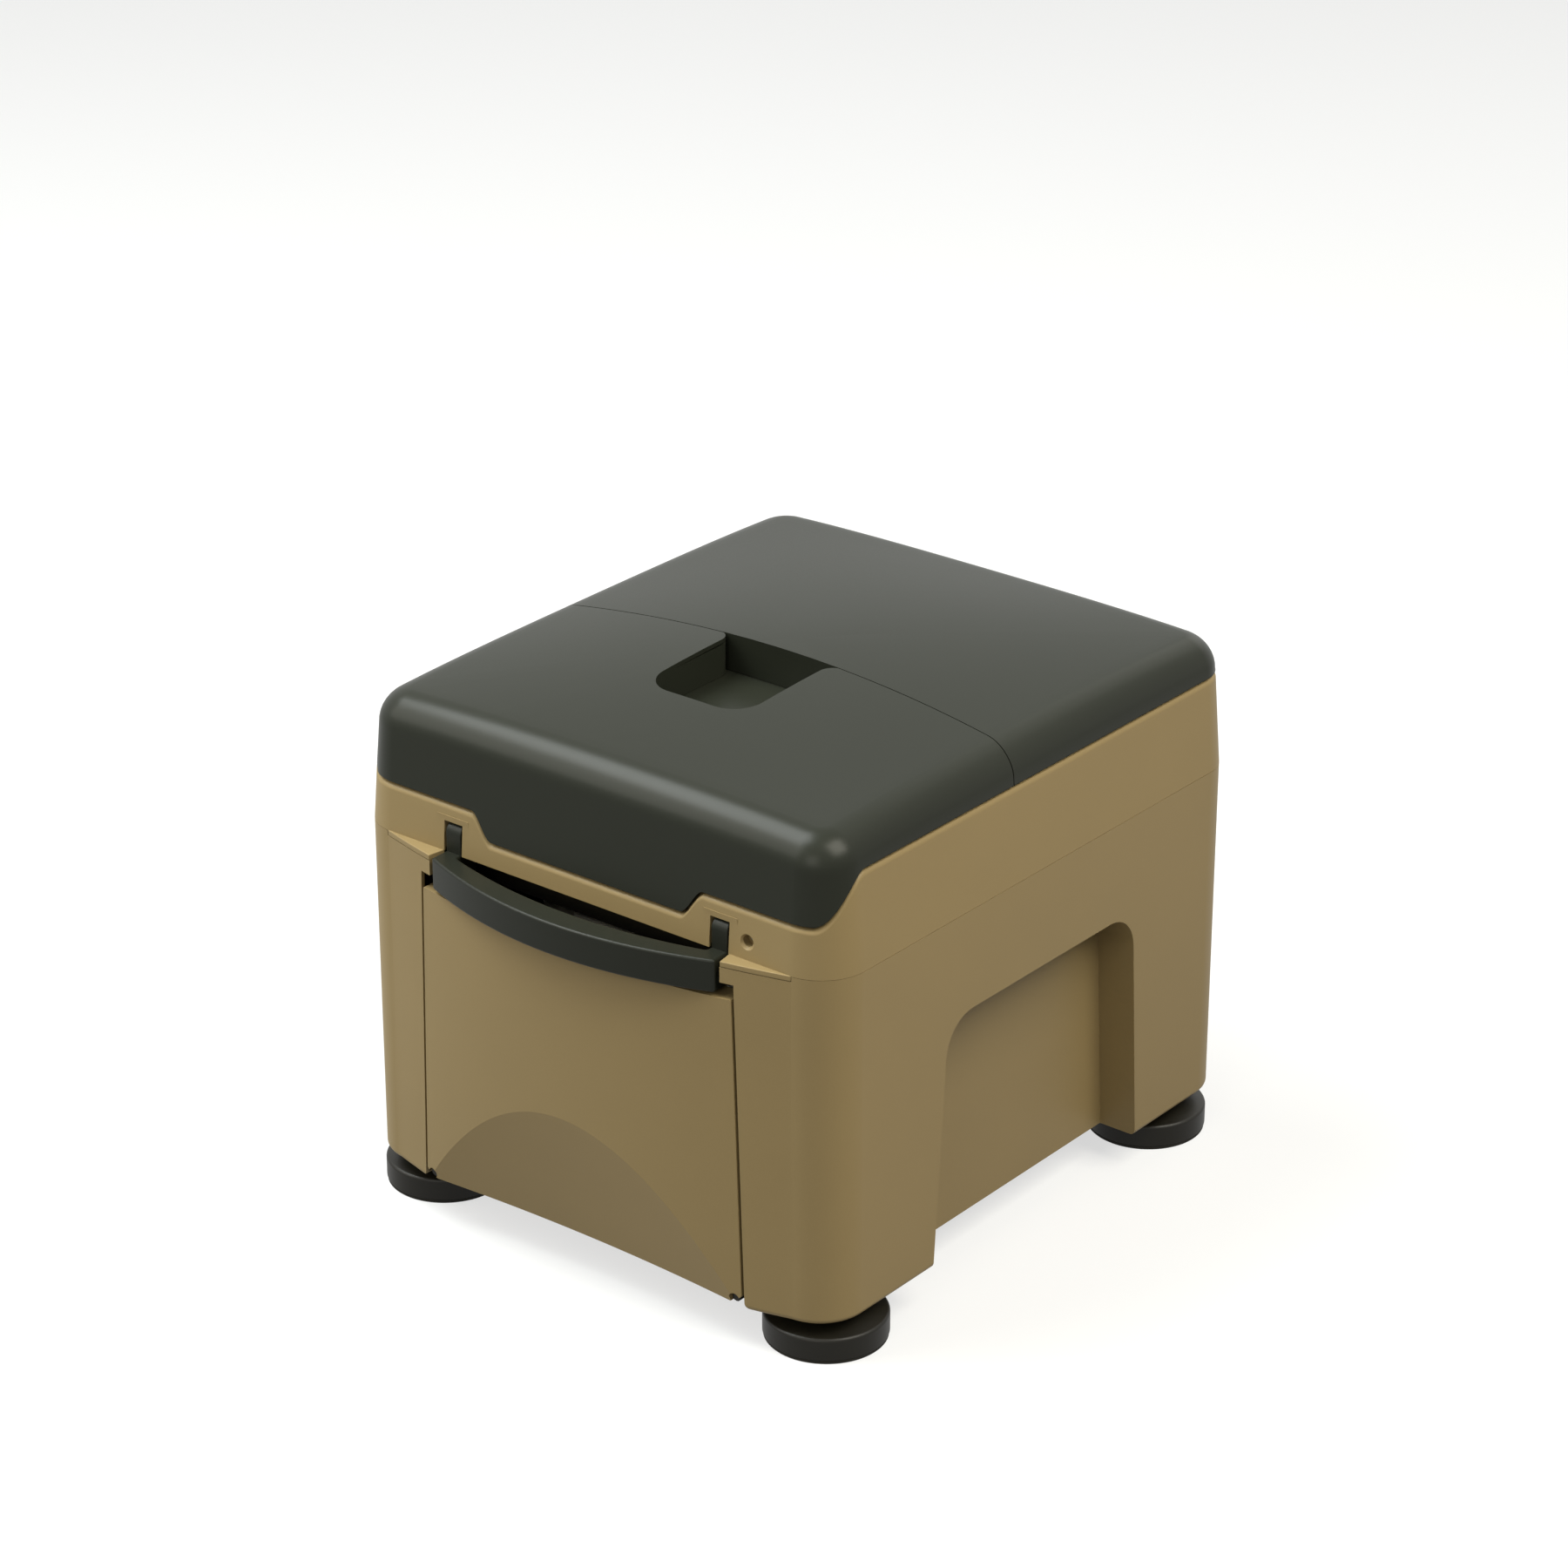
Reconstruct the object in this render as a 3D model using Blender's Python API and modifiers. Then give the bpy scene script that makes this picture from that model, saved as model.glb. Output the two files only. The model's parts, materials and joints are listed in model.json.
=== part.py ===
"""Portable potty: a two-part housing on levelling feet, with a lift-up lid, a seat over a
splash bowl, a flip-up carry handle and a front drawer that holds the waste pail.

Metres, +Z up, front towards -Y. The origin is on the floor, under the middle of the whole.
"""

import math

import bmesh
import bpy
from mathutils import Matrix, Vector

# Housing
BODY_WIDTH = 0.4
BODY_DEPTH = 0.447
CORNER_RADIUS = 0.034
WALL = 0.003
DRAFT = 0.005
DRAFT_HEIGHT = 0.068
LEG_BOTTOM_Z = 0.0285
BODY_HEIGHT = 0.2457
LEG_EDGE = 0.0042
LEG_CORNER = 0.006
FLOOR_THICKNESS = 0.0035
HALF_WIDTH = BODY_WIDTH / 2
CORNER_X = HALF_WIDTH - CORNER_RADIUS
PARTING_Z = LEG_BOTTOM_Z + BODY_HEIGHT
FLOOR_TOP_Z = LEG_BOTTOM_Z + FLOOR_THICKNESS

# Clearances shared by all pieces
SEAT_GAP = 0.0003
OVERRUN = 0.006
BITE = 0.0012

# Lid hinge, whose barrel is the rearmost point, and the handle's reach, which is the foremost
HINGE_SETBACK = 0.0015
HINGE_BARREL_RADIUS = 0.005
HINGE_PIN_RADIUS = 0.0025
HINGE_SIDE_INSET = 0.1
HINGE_RISE = 0.0034
HINGE_LID_LENGTH = 0.024
HINGE_FRAME_LENGTH = 0.012
HINGE_LUG_HEIGHT = 0.02
HINGE_WEB_HEIGHT = 0.008
BOW_REACH = 0.0372
HINGE_REACH = HINGE_SETBACK + HINGE_BARREL_RADIUS
FRONT_Y = (BOW_REACH - BODY_DEPTH - HINGE_REACH) / 2
REAR_Y = FRONT_Y + BODY_DEPTH
MIDDLE_Y = (FRONT_Y + REAR_Y) / 2
CORNER_FRONT_Y = FRONT_Y + CORNER_RADIUS
CORNER_REAR_Y = REAR_Y - CORNER_RADIUS
HINGE_X = HALF_WIDTH - HINGE_SIDE_INSET
HINGE_Y = REAR_Y + HINGE_SETBACK

# Bowed front of the lower body
BOW_DEPTH = 0.0243
BOW_CORNER_REACH = 0.0029
LEDGE_INSET = 0.0782
LEDGE_TAPER = 0.0022
LEDGE_DROP = 0.0035
LEDGE_EDGE = 0.0014
BOW_HALF_WIDTH = CORNER_X + BOW_CORNER_REACH
LEDGE_INNER_X = HALF_WIDTH - LEDGE_INSET
LEDGE_ROOT_X = LEDGE_INNER_X - LEDGE_TAPER

# Rim of the upper frame, whose height changes along the outline
RIM_SIDE_HEIGHT = 0.0654
RIM_FRONT_HEIGHT = 0.033
RIM_CENTRE_HEIGHT = 0.015
APRON_INSET = 0.121
APRON_SLOPE = 0.018
CORNER_SLOPE_START_SHARE = 0.32
CORNER_SLOPE_TAIL = 0.007
RIM_BEAD = 0.004
UPSTAND_INSET = 0.0105
UPSTAND_DROP = 0.0036
RIM_SIDE_Z = PARTING_Z + RIM_SIDE_HEIGHT
RIM_FRONT_Z = PARTING_Z + RIM_FRONT_HEIGHT
RIM_CENTRE_Z = PARTING_Z + RIM_CENTRE_HEIGHT
APRON_HALF_WIDTH = HALF_WIDTH - APRON_INSET
UPSTAND_TOP_Z = RIM_SIDE_Z - UPSTAND_DROP
HINGE_Z = RIM_SIDE_Z + HINGE_RISE

# Side recesses
ARCH_HEADROOM = 0.0707
ARCH_FRONT_SETBACK = 0.1217
ARCH_FRONT_LEAN = 0.0126
ARCH_REAR_SETBACK = 0.1206
ARCH_REAR_LEAN = 0.0113
ARCH_RADIUS = 0.028
ARCH_DEPTH = 0.029
ARCH_TOP_Z = PARTING_Z - ARCH_HEADROOM

# Lid
LID_GAP = 0.0018
LID_RISE = 0.0272
LID_CROWN = 0.0152
LID_CORNER_DROP = 0.003
LID_ROUND = 0.022
SEAM_SETBACK = 0.1937
SEAM_BOW = 0.0072
SEAM_GAP = 0.0008
NOTCH_HALF_WIDTH = 0.0413
NOTCH_LENGTH = 0.0852
NOTCH_RADIUS = 0.022
NOTCH_MOUTH_RADIUS = 0.011
POCKET_WALL = 0.0025
PAN_DEPTH = 0.0128
PAN_THICKNESS = 0.0025
PAN_INSET = 0.016
LID_SCREW_INSET = 0.0335
LID_SCREW_SETBACK = 0.1
LID_SCREW_SEAM_OFFSET = 0.0663
LID_SCREW_REAR_SETBACK = 0.057
LID_BOSS_RADIUS = 0.005
BUMPER_INSET = 0.029
BUMPER_SETBACK = 0.04
BUMPER_RADIUS = 0.006
CROWN_RING_SHARES = (0.75, 0.4)
LID_EDGE_Z = RIM_SIDE_Z + LID_RISE
PAN_TOP_Z = LID_EDGE_Z - PAN_DEPTH
PAN_BOTTOM_Z = PAN_TOP_Z - PAN_THICKNESS
LID_HALF_WIDTH = HALF_WIDTH - 2 * DRAFT
LID_HALF_DEPTH = BODY_DEPTH / 2 - 2 * DRAFT
LID_SCREW_X = HALF_WIDTH - LID_SCREW_INSET
BUMPER_X = HALF_WIDTH - BUMPER_INSET
NOTCH_FRONT_Y = FRONT_Y + SEAM_SETBACK - NOTCH_LENGTH

# Seat, deck and splash bowl
DECK_THICKNESS = 0.0025
SEAT_SHIFT = 0.0068
SEAT_SIDE_INSET = 0.042
SEAT_END_INSET = 0.0375
SEAT_SQUARENESS = 3.2
SEAT_THICKNESS = 0.0075
SEAT_BAND_WIDTH = 0.055
SEAT_BAND_LENGTH = 0.056
SEAT_BUMPER_HEIGHT = 0.002
SEAT_BUMPER_RADIUS = 0.007
SEAT_ACROSS_UP_SHARES = ((0.0, 0.45), (0.03, 0.85), (0.1, 1.0), (0.6, 0.96), (0.93, 0.78),
                         (1.0, 0.45), (0.97, 0.0), (0.03, 0.0))
BOWL_LEDGE = 0.004
BOWL_WALL = 0.0025
BOWL_FLANGE_WIDTH = 0.006
BOWL_FLANGE_THICKNESS = 0.0012
BOWL_TAPER_WIDTH = 0.023
BOWL_TAPER_LENGTH = 0.032
BOWL_OUTLET_DROP = 0.0302
BOWL_DOWN_BELLY_SHARES = ((0.0, 0.0), (0.3, 0.12), (0.65, 0.08), (1.0, 0.0))
GASKET_WIDTH = 0.008
GASKET_OFFSET = 0.012
SEAT_Y = FRONT_Y + BODY_DEPTH / 2 - SEAT_SHIFT
SEAT_HALF_WIDTH = HALF_WIDTH - SEAT_SIDE_INSET
SEAT_HALF_LENGTH = BODY_DEPTH / 2 - SEAT_END_INSET
SEAT_HOLE_HALF_WIDTH = SEAT_HALF_WIDTH - SEAT_BAND_WIDTH
SEAT_HOLE_HALF_LENGTH = SEAT_HALF_LENGTH - SEAT_BAND_LENGTH
BOWL_OUTLET_HALF_WIDTH = SEAT_HOLE_HALF_WIDTH - BOWL_TAPER_WIDTH
BOWL_OUTLET_HALF_LENGTH = SEAT_HOLE_HALF_LENGTH - BOWL_TAPER_LENGTH
BOWL_OUTLET_Z = PARTING_Z - BOWL_OUTLET_DROP
DECK_BOTTOM_Z = UPSTAND_TOP_Z + SEAT_GAP
DECK_TOP_Z = DECK_BOTTOM_Z + DECK_THICKNESS
SEAT_BOTTOM_Z = DECK_TOP_Z + SEAT_BUMPER_HEIGHT + 2 * SEAT_GAP
SEAT_TOP_Z = SEAT_BOTTOM_Z + SEAT_THICKNESS

# Carry handle
BOW_SIDE_INSET = 0.0817
BOW_SAG = 0.0242
BOW_RISE = 0.0001
BOW_HEIGHT = 0.0226
BOW_INNER_REACH = 0.0137
BOW_INNER_SAG = 0.0142
ARM_WIDTH = 0.0136
ARM_THICKNESS = 0.014
ARM_FACE_SETBACK = 0.0008
ARM_RISE = 0.0203
HANDLE_PIN_RADIUS = 0.0025
SLOT_GAP = 0.001
POCKET_SIDE_ROOM = 0.0033
POCKET_DEPTH = 0.021
POCKET_DROP = 0.0007
CHEEK_INNER_ROOM = 0.0062
CHEEK_OUTER_ROOM = 0.0072
CHEEK_HEADROOM = 0.0049
CHEEK_DEPTH = 0.0215
HANDLE_EDGE = 0.0018
ARM_SET_IN_SHARE = 1 / 30
BOW_HALF_LENGTH = HALF_WIDTH - BOW_SIDE_INSET
BOW_TOP_Z = PARTING_Z + BOW_RISE
BOW_BOTTOM_Z = BOW_TOP_Z - BOW_HEIGHT
ARM_TOP_Z = BOW_TOP_Z + ARM_RISE
ARM_INNER_X = BOW_HALF_LENGTH - ARM_WIDTH
ARM_OUTER_X = BOW_HALF_LENGTH - ARM_WIDTH * ARM_SET_IN_SHARE
ARM_RADIUS = ARM_THICKNESS / 2
PIVOT_Y = FRONT_Y + ARM_FACE_SETBACK + ARM_RADIUS
PIVOT_Z = ARM_TOP_Z - ARM_RADIUS
ARM_BACK_Y = PIVOT_Y + ARM_RADIUS
POCKET_HALF_WIDTH = BOW_HALF_LENGTH + POCKET_SIDE_ROOM
POCKET_BOTTOM_Z = BOW_BOTTOM_Z - POCKET_DROP
CHEEK_INNER_X = ARM_INNER_X - CHEEK_INNER_ROOM
CHEEK_OUTER_X = BOW_HALF_LENGTH + CHEEK_OUTER_ROOM
CHEEK_TOP_Z = ARM_TOP_Z + CHEEK_HEADROOM

# Recessed fixing screw in the frame's front
FRONT_SCREW_OFFSET = 0.0153
FRONT_SCREW_HEIGHT = 0.0126
FRONT_HOLE_RADIUS = 0.004
FRONT_HOLE_RIM = 0.0015
FRONT_BOSS_RADIUS = 0.0065
FRONT_BOSS_DEPTH = 0.016
FRONT_SCREW_SINK = 0.005
SCREW_SHANK_RADIUS = 0.0018
SCREW_HEAD_RADIUS = 0.0036
SCREW_HEAD_HEIGHT = 0.0026
SCREW_LENGTH = 0.014
FRONT_SCREW_X = BOW_HALF_LENGTH + FRONT_SCREW_OFFSET
FRONT_SCREW_Z = PARTING_Z + FRONT_SCREW_HEIGHT

# Drawer
OPENING_HEADER = 0.0144
PANEL_HEADROOM = 0.0108
PANEL_SILL = 0.0037
PANEL_SIDE_INSET = 0.0707
PANEL_SPREAD = 0.0064
PANEL_GAP = 0.002
PANEL_CORNER = 0.009
PANEL_CORNER_HEIGHT = 0.0055
PANEL_BACK_SETBACK = 0.0037
PANEL_WALL = 0.003
HEEL_DEPTH = 0.0204
HEEL_HEIGHT = 0.0948
HEEL_HOLLOW = 0.0058
FLOOR_SETBACK = 0.015
TRAY_SIDE_INSET = 0.0048
TRAY_FACE_OVERLAP = 0.0037
TRAY_WALL = 0.0025
TRAY_FLOOR_GAP = 0.005
TRAY_HEIGHT = 0.075
TRAY_FACE_DROP = 0.0035
TRAY_REAR_INSET = 0.067
LINER_SIDE_ROOM = 0.0122
LINER_WALL = 0.002
LINER_TOP_DROP = 0.001
LINER_FRONT_SETBACK = 0.009
LINER_REAR_INSET = 0.044
RUNNER_DEPTH = 0.009
RUNNER_RISE = 0.047
RUNNER_HEIGHT = 0.02
RUNNER_WALL = 0.0025
RUNNER_FRONT_SETBACK = 0.014
RUNNER_REAR_GAP = 0.008
RAIL_SIDE_PLAY = 0.0015
DRAWER_SCREW_INSET = 0.0125
DRAWER_SCREW_RISE = 0.027
DRAWER_SCREW_SPACING = 0.036
DRAWER_SCREW_LENGTH = 0.0112
DRAWER_BOSS_RADIUS = 0.005
GLIDE_RADIUS = 0.0034
GLIDE_OFFSET = 0.0057
GLIDE_RISE = 0.0035
GLIDE_NOSE = 0.0075
OPENING_TOP_Z = PARTING_Z - OPENING_HEADER
PANEL_TOP_Z = OPENING_TOP_Z - PANEL_HEADROOM
PANEL_BOTTOM_Z = LEG_BOTTOM_Z + PANEL_SILL
PANEL_TOP_HALF = HALF_WIDTH - PANEL_SIDE_INSET
PANEL_BOTTOM_HALF = PANEL_TOP_HALF + PANEL_SPREAD
HEEL_TOP_Z = PANEL_BOTTOM_Z + HEEL_HEIGHT
TRAY_HALF_WIDTH = PANEL_TOP_HALF - TRAY_SIDE_INSET
TRAY_FACE_HALF = PANEL_TOP_HALF + TRAY_FACE_OVERLAP
TRAY_FRONT_Y = FRONT_Y + PANEL_BACK_SETBACK + SEAT_GAP
TRAY_LENGTH = BODY_DEPTH - TRAY_REAR_INSET
TRAY_BOTTOM_Z = FLOOR_TOP_Z + TRAY_FLOOR_GAP
TRAY_TOP_Z = TRAY_BOTTOM_Z + TRAY_HEIGHT
TRAY_FACE_BOTTOM_Z = TRAY_BOTTOM_Z - TRAY_FACE_DROP
LINER_HALF_WIDTH = PANEL_TOP_HALF + LINER_SIDE_ROOM
LINER_TOP_Z = PANEL_TOP_Z - LINER_TOP_DROP
LINER_FRONT_Y = FRONT_Y + LINER_FRONT_SETBACK
LINER_REAR_Y = REAR_Y - LINER_REAR_INSET
RUNNER_BOTTOM_Z = TRAY_BOTTOM_Z + RUNNER_RISE
RUNNER_FRONT_Y = FRONT_Y + RUNNER_FRONT_SETBACK
RUNNER_REAR_Y = LINER_REAR_Y - RUNNER_REAR_GAP
DRAWER_SCREW_X = TRAY_HALF_WIDTH - DRAWER_SCREW_INSET
DRAWER_SCREW_LOW_Z = TRAY_BOTTOM_Z + DRAWER_SCREW_RISE
DRAWER_SCREW_HIGH_Z = DRAWER_SCREW_LOW_Z + DRAWER_SCREW_SPACING
GLIDE_X = TRAY_HALF_WIDTH + GLIDE_OFFSET
GLIDE_Z = FLOOR_TOP_Z + GLIDE_RISE

# Waste pail
PAIL_SHIFT = 0.01
PAIL_SIDE_ROOM = 0.0165
PAIL_END_ROOM = 0.042
PAIL_TAPER = 0.014
PAIL_HEADROOM = 0.006
PAIL_WALL = 0.0025
PAIL_CORNER = 0.035
PAIL_FLANGE = 0.006
PAIL_GRIP_HALF = 0.045
PAIL_GRIP_REACH = 0.014
PAIL_FOOT_EDGE = 0.006
PAIL_Y = SEAT_Y - PAIL_SHIFT
PAIL_TOP_HALF_WIDTH = TRAY_HALF_WIDTH - PAIL_SIDE_ROOM
PAIL_TOP_HALF_LENGTH = TRAY_LENGTH / 2 - PAIL_END_ROOM
PAIL_BASE_HALF_WIDTH = PAIL_TOP_HALF_WIDTH - PAIL_TAPER
PAIL_BASE_HALF_LENGTH = PAIL_TOP_HALF_LENGTH - PAIL_TAPER
PAIL_TOP_Z = BOWL_OUTLET_Z - PAIL_HEADROOM
PAIL_BOTTOM_Z = TRAY_BOTTOM_Z + TRAY_WALL + SEAT_GAP

# Levelling feet
FOOT_SIDE_INSET = 0.035
FOOT_FRONT_SETBACK = 0.0417
FOOT_REAR_SETBACK = 0.0453
FOOT_RADIUS = 0.0413
FOOT_EDGE_Z = 0.0155
FOOT_ROUND = 0.0025
FOOT_ROUND_SHARE = 0.3
FOOT_SHOULDER_RADIUS = 0.03
FOOT_SHOULDER_Z = 0.021
FOOT_HUB_RADIUS = 0.013
FOOT_HUB_GAP = 0.0025
FOOT_PAD_HEIGHT = 0.0025
FOOT_PAD_INSET = 0.0006
STUD_RADIUS = 0.006
STUD_LENGTH = 0.06
STUD_FOOT_Z = 0.01
STUD_TIP_SHARE = 0.75
NUT_RADIUS = 0.0115
NUT_HEIGHT = 0.01
FOOT_X = HALF_WIDTH - FOOT_SIDE_INSET
FOOT_FRONT_Y = FRONT_Y + FOOT_FRONT_SETBACK
FOOT_REAR_Y = REAR_Y - FOOT_REAR_SETBACK
FOOT_HUB_Z = LEG_BOTTOM_Z - FOOT_HUB_GAP
STUD_TOP_Z = STUD_FOOT_Z + STUD_LENGTH

# Screws that hold the frame on the lower body
FRAME_SCREW_INSET = 0.018
FRAME_SCREW_FRONT_SETBACK = 0.05
FRAME_SCREW_REAR_SETBACK = 0.047
FRAME_BOSS_RADIUS = 0.006
FRAME_BOSS_HEIGHT = 0.05
GUSSET_HALF = 0.011
GUSSET_THICKNESS = 0.004
FRAME_SCREW_X = HALF_WIDTH - FRAME_SCREW_INSET

# Facets
CORNER_STEPS = 6
SLOPE_STEPS = 5
SPAN_STEPS = 4
CURVE_STEPS = 14
OVAL_SEGMENTS = 28
ROUND_SEGMENTS = 20
HOLE_SEGMENTS = 12
SMALL_SEGMENTS = 12
SCREW_SEGMENTS = 8
MERGE = 0.00005
FLAT_ANGLE = 0.0005

TAN = (0.262, 0.195, 0.103, 1.0)
CHARCOAL = (0.073, 0.078, 0.066, 1.0)
BLACK = (0.012, 0.012, 0.009, 1.0)
STONE = (0.52, 0.5, 0.44, 1.0)
STEEL = (0.55, 0.55, 0.56, 1.0)


# Scene and materials

def empty_scene():
    for obj in list(bpy.data.objects):
        bpy.data.objects.remove(obj, do_unlink=True)


def collection(name):
    made = bpy.data.collections.new(name)
    bpy.context.scene.collection.children.link(made)
    return made


def material(name, colour, roughness, metallic=0.0):
    made = bpy.data.materials.new(name)
    made.use_nodes = True
    shader = made.node_tree.nodes["Principled BSDF"]
    shader.inputs["Base Color"].default_value = colour
    shader.inputs["Roughness"].default_value = roughness
    shader.inputs["Metallic"].default_value = metallic
    made.diffuse_color = colour
    return made


empty_scene()
PARTS = collection("portable_potty")
CUTTERS = collection("cutters")


def axis_empty(name, place):
    made = bpy.data.objects.new(name, None)
    made.location = place
    PARTS.objects.link(made)
    return made


def mesh_object(name, mesh, group):
    made = bpy.data.objects.new(name, mesh)
    group.objects.link(made)
    return made


def piece(name, mesh, finish, carrier=None):
    """A named part. Its mesh is written in world places and hung on its carrier's axis."""
    made = mesh_object(name, mesh, PARTS)
    made.data.materials.append(material(name, *finish))
    if carrier is not None:
        mesh.transform(Matrix.Translation(-carrier.location))
        made.parent = carrier
    return made


def helper(name, mesh):
    """A cutter, or a shape that is joined to a part."""
    made = mesh_object(name, mesh, CUTTERS)
    made.hide_render = True
    made.display_type = "WIRE"
    return made


def boolean(target, tool, operation):
    modifier = target.modifiers.new(f"{operation.lower()} {tool.name}", "BOOLEAN")
    modifier.operation = operation
    modifier.object = tool
    modifier.solver = "EXACT"


def cut(target, *tools):
    for tool in tools:
        boolean(target, tool, "DIFFERENCE")


def join(target, *tools):
    for tool in tools:
        boolean(target, tool, "UNION")


def keep(target, tool):
    boolean(target, tool, "INTERSECT")


def bevel(target, width, segments=2, degrees=40):
    modifier = target.modifiers.new("edges", "BEVEL")
    modifier.width = width
    modifier.segments = segments
    modifier.limit_method = "ANGLE"
    modifier.angle_limit = math.radians(degrees)
    modifier.harden_normals = False


# Meshes

def finished(bm, smooth_degrees=35):
    bm.normal_update()
    bmesh.ops.recalc_face_normals(bm, faces=bm.faces)
    mesh = bpy.data.meshes.new("mesh")
    bm.to_mesh(mesh)
    bm.free()
    mesh.shade_smooth()
    mesh.set_sharp_from_angle(angle=math.radians(smooth_degrees))
    return mesh


def placed(axis, u, v, w):
    """Turn an outline's point u, v and its height w to stand along an axis."""
    return {"X": (w, u, v), "Y": (u, w, v), "Z": (u, v, w)}[axis]


def prism(points, low, high, axis="Z", shear=(0.0, 0.0)):
    """A flat outline extruded from low to high along an axis, sheared by a shift of its far end."""
    curve = bpy.data.curves.new("outline", "CURVE")
    curve.dimensions = "2D"
    curve.fill_mode = "BOTH"
    curve.extrude = (high - low) / 2
    spline = curve.splines.new("POLY")
    spline.points.add(len(points) - 1)
    for point, (u, v) in zip(spline.points, points):
        point.co = (u, v, 0.0, 1.0)
    spline.use_cyclic_u = True
    flat = mesh_object("outline", curve, CUTTERS)
    evaluated = flat.evaluated_get(bpy.context.evaluated_depsgraph_get())
    bm = bmesh.new()
    raised = bpy.data.meshes.new_from_object(evaluated)
    bm.from_mesh(raised)
    bpy.data.objects.remove(flat, do_unlink=True)
    bpy.data.curves.remove(curve)
    bpy.data.meshes.remove(raised)
    bmesh.ops.remove_doubles(bm, verts=bm.verts, dist=MERGE)
    bmesh.ops.dissolve_limit(bm, angle_limit=FLAT_ANGLE, verts=bm.verts, edges=bm.edges)
    for vert in bm.verts:
        u, v, w = vert.co
        share = w / (high - low) + 1 / 2
        vert.co = placed(axis, u + shear[0] * share, v + shear[1] * share, w + (high + low) / 2)
    return finished(bm)


def box(low, high):
    bm = bmesh.new()
    bmesh.ops.create_cube(bm, size=1.0)
    low, high = Vector(low), Vector(high)
    bmesh.ops.scale(bm, verts=bm.verts, vec=high - low)
    bmesh.ops.translate(bm, verts=bm.verts, vec=(high + low) / 2)
    return finished(bm)


def loft(rings, closed=False):
    """Skin unlike rings of the same count. Closed joins the last ring to the first."""
    bm = bmesh.new()
    skins = [[bm.verts.new(point) for point in ring] for ring in rings]
    pairs = list(zip(skins, skins[1:]))
    if closed:
        pairs.append((skins[-1], skins[0]))
    for lower, upper in pairs:
        for i in range(len(lower)):
            j = (i + 1) % len(lower)
            bm.faces.new((lower[i], lower[j], upper[j], upper[i]))
    if not closed:
        bm.faces.new(skins[0])
        bm.faces.new(skins[-1])
    return finished(bm)


def cylinder(centre, radius, low, high, axis="Z", segments=SMALL_SEGMENTS, top_radius=None):
    """A cylinder or cone along an axis; centre is the pair of its other two coordinates."""
    bm = bmesh.new()
    end = radius if top_radius is None else top_radius
    bmesh.ops.create_cone(bm, cap_ends=True, segments=segments, radius1=radius, radius2=end,
                          depth=high - low)
    bmesh.ops.translate(bm, verts=bm.verts, vec=(0, 0, (high + low) / 2))
    for vert in bm.verts:
        x, y, z = vert.co
        vert.co = placed(axis, centre[0] + x, centre[1] + y, z)
    return finished(bm)


def revolve(name, profile, centre, finish, carrier=None, axis="Z", segments=ROUND_SEGMENTS):
    """A turned piece: a profile of radius and height, from the top down, with a Screw modifier."""
    mesh = bpy.data.meshes.new("profile")
    edges = [(i, i + 1) for i in range(len(profile) - 1)]
    mesh.from_pydata([(radius, 0, height) for radius, height in profile], edges, [])
    made = piece(name, mesh, finish)
    made.location = placed(axis, centre[0], centre[1], 0)
    if axis == "Y":
        made.rotation_euler = (-math.pi / 2, 0, 0)
    if carrier is not None:
        made.location -= carrier.location
        made.parent = carrier
    turn = made.modifiers.new("turn", "SCREW")
    turn.axis = "Z"
    turn.steps = segments
    turn.render_steps = segments
    turn.use_merge_vertices = True
    turn.merge_threshold = MERGE
    return made


def screw(name, centre, head_low, up, finish, carrier=None, length=SCREW_LENGTH, axis="Z"):
    """A pan-head screw. Its head starts at head_low and its shank runs the other way."""
    top, tip = head_low + SCREW_HEAD_HEIGHT, head_low - length
    profile = [(0, top), (SCREW_HEAD_RADIUS, top), (SCREW_HEAD_RADIUS, head_low),
               (SCREW_SHANK_RADIUS, head_low), (SCREW_SHANK_RADIUS, tip), (0, tip)]
    if not up:
        profile = [(radius, 2 * head_low - height) for radius, height in reversed(profile)]
    return revolve(name, profile, centre, finish, carrier, axis, SCREW_SEGMENTS)


def smooth(share):
    share = min(max(share, 0.0), 1.0)
    return share * share * (3 - 2 * share)


def filleted(points, radii, steps=5):
    """Round the corners of a closed outline; a radius of zero leaves a corner sharp."""
    made = []
    count = len(points)
    for i, (corner, radius) in enumerate(zip(points, radii)):
        corner = Vector(corner)
        if radius == 0:
            made.append(tuple(corner))
            continue
        before = (Vector(points[i - 1]) - corner).normalized()
        after = (Vector(points[(i + 1) % count]) - corner).normalized()
        half = before.angle(after) / 2
        centre = corner + (before + after).normalized() * radius / math.sin(half)
        start = corner + before * radius / math.tan(half) - centre
        end = corner + after * radius / math.tan(half) - centre
        turn = start.angle_signed(end)
        for step in range(steps + 1):
            made.append(tuple(centre + Matrix.Rotation(-turn * step / steps, 2) @ start))
    return made


# Plan of the housing. Each station knows its place at any inset and the rim's height there.

def between(count):
    """Shares of a straight stretch, without its ends."""
    return [i / count for i in range(1, count)]


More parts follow.
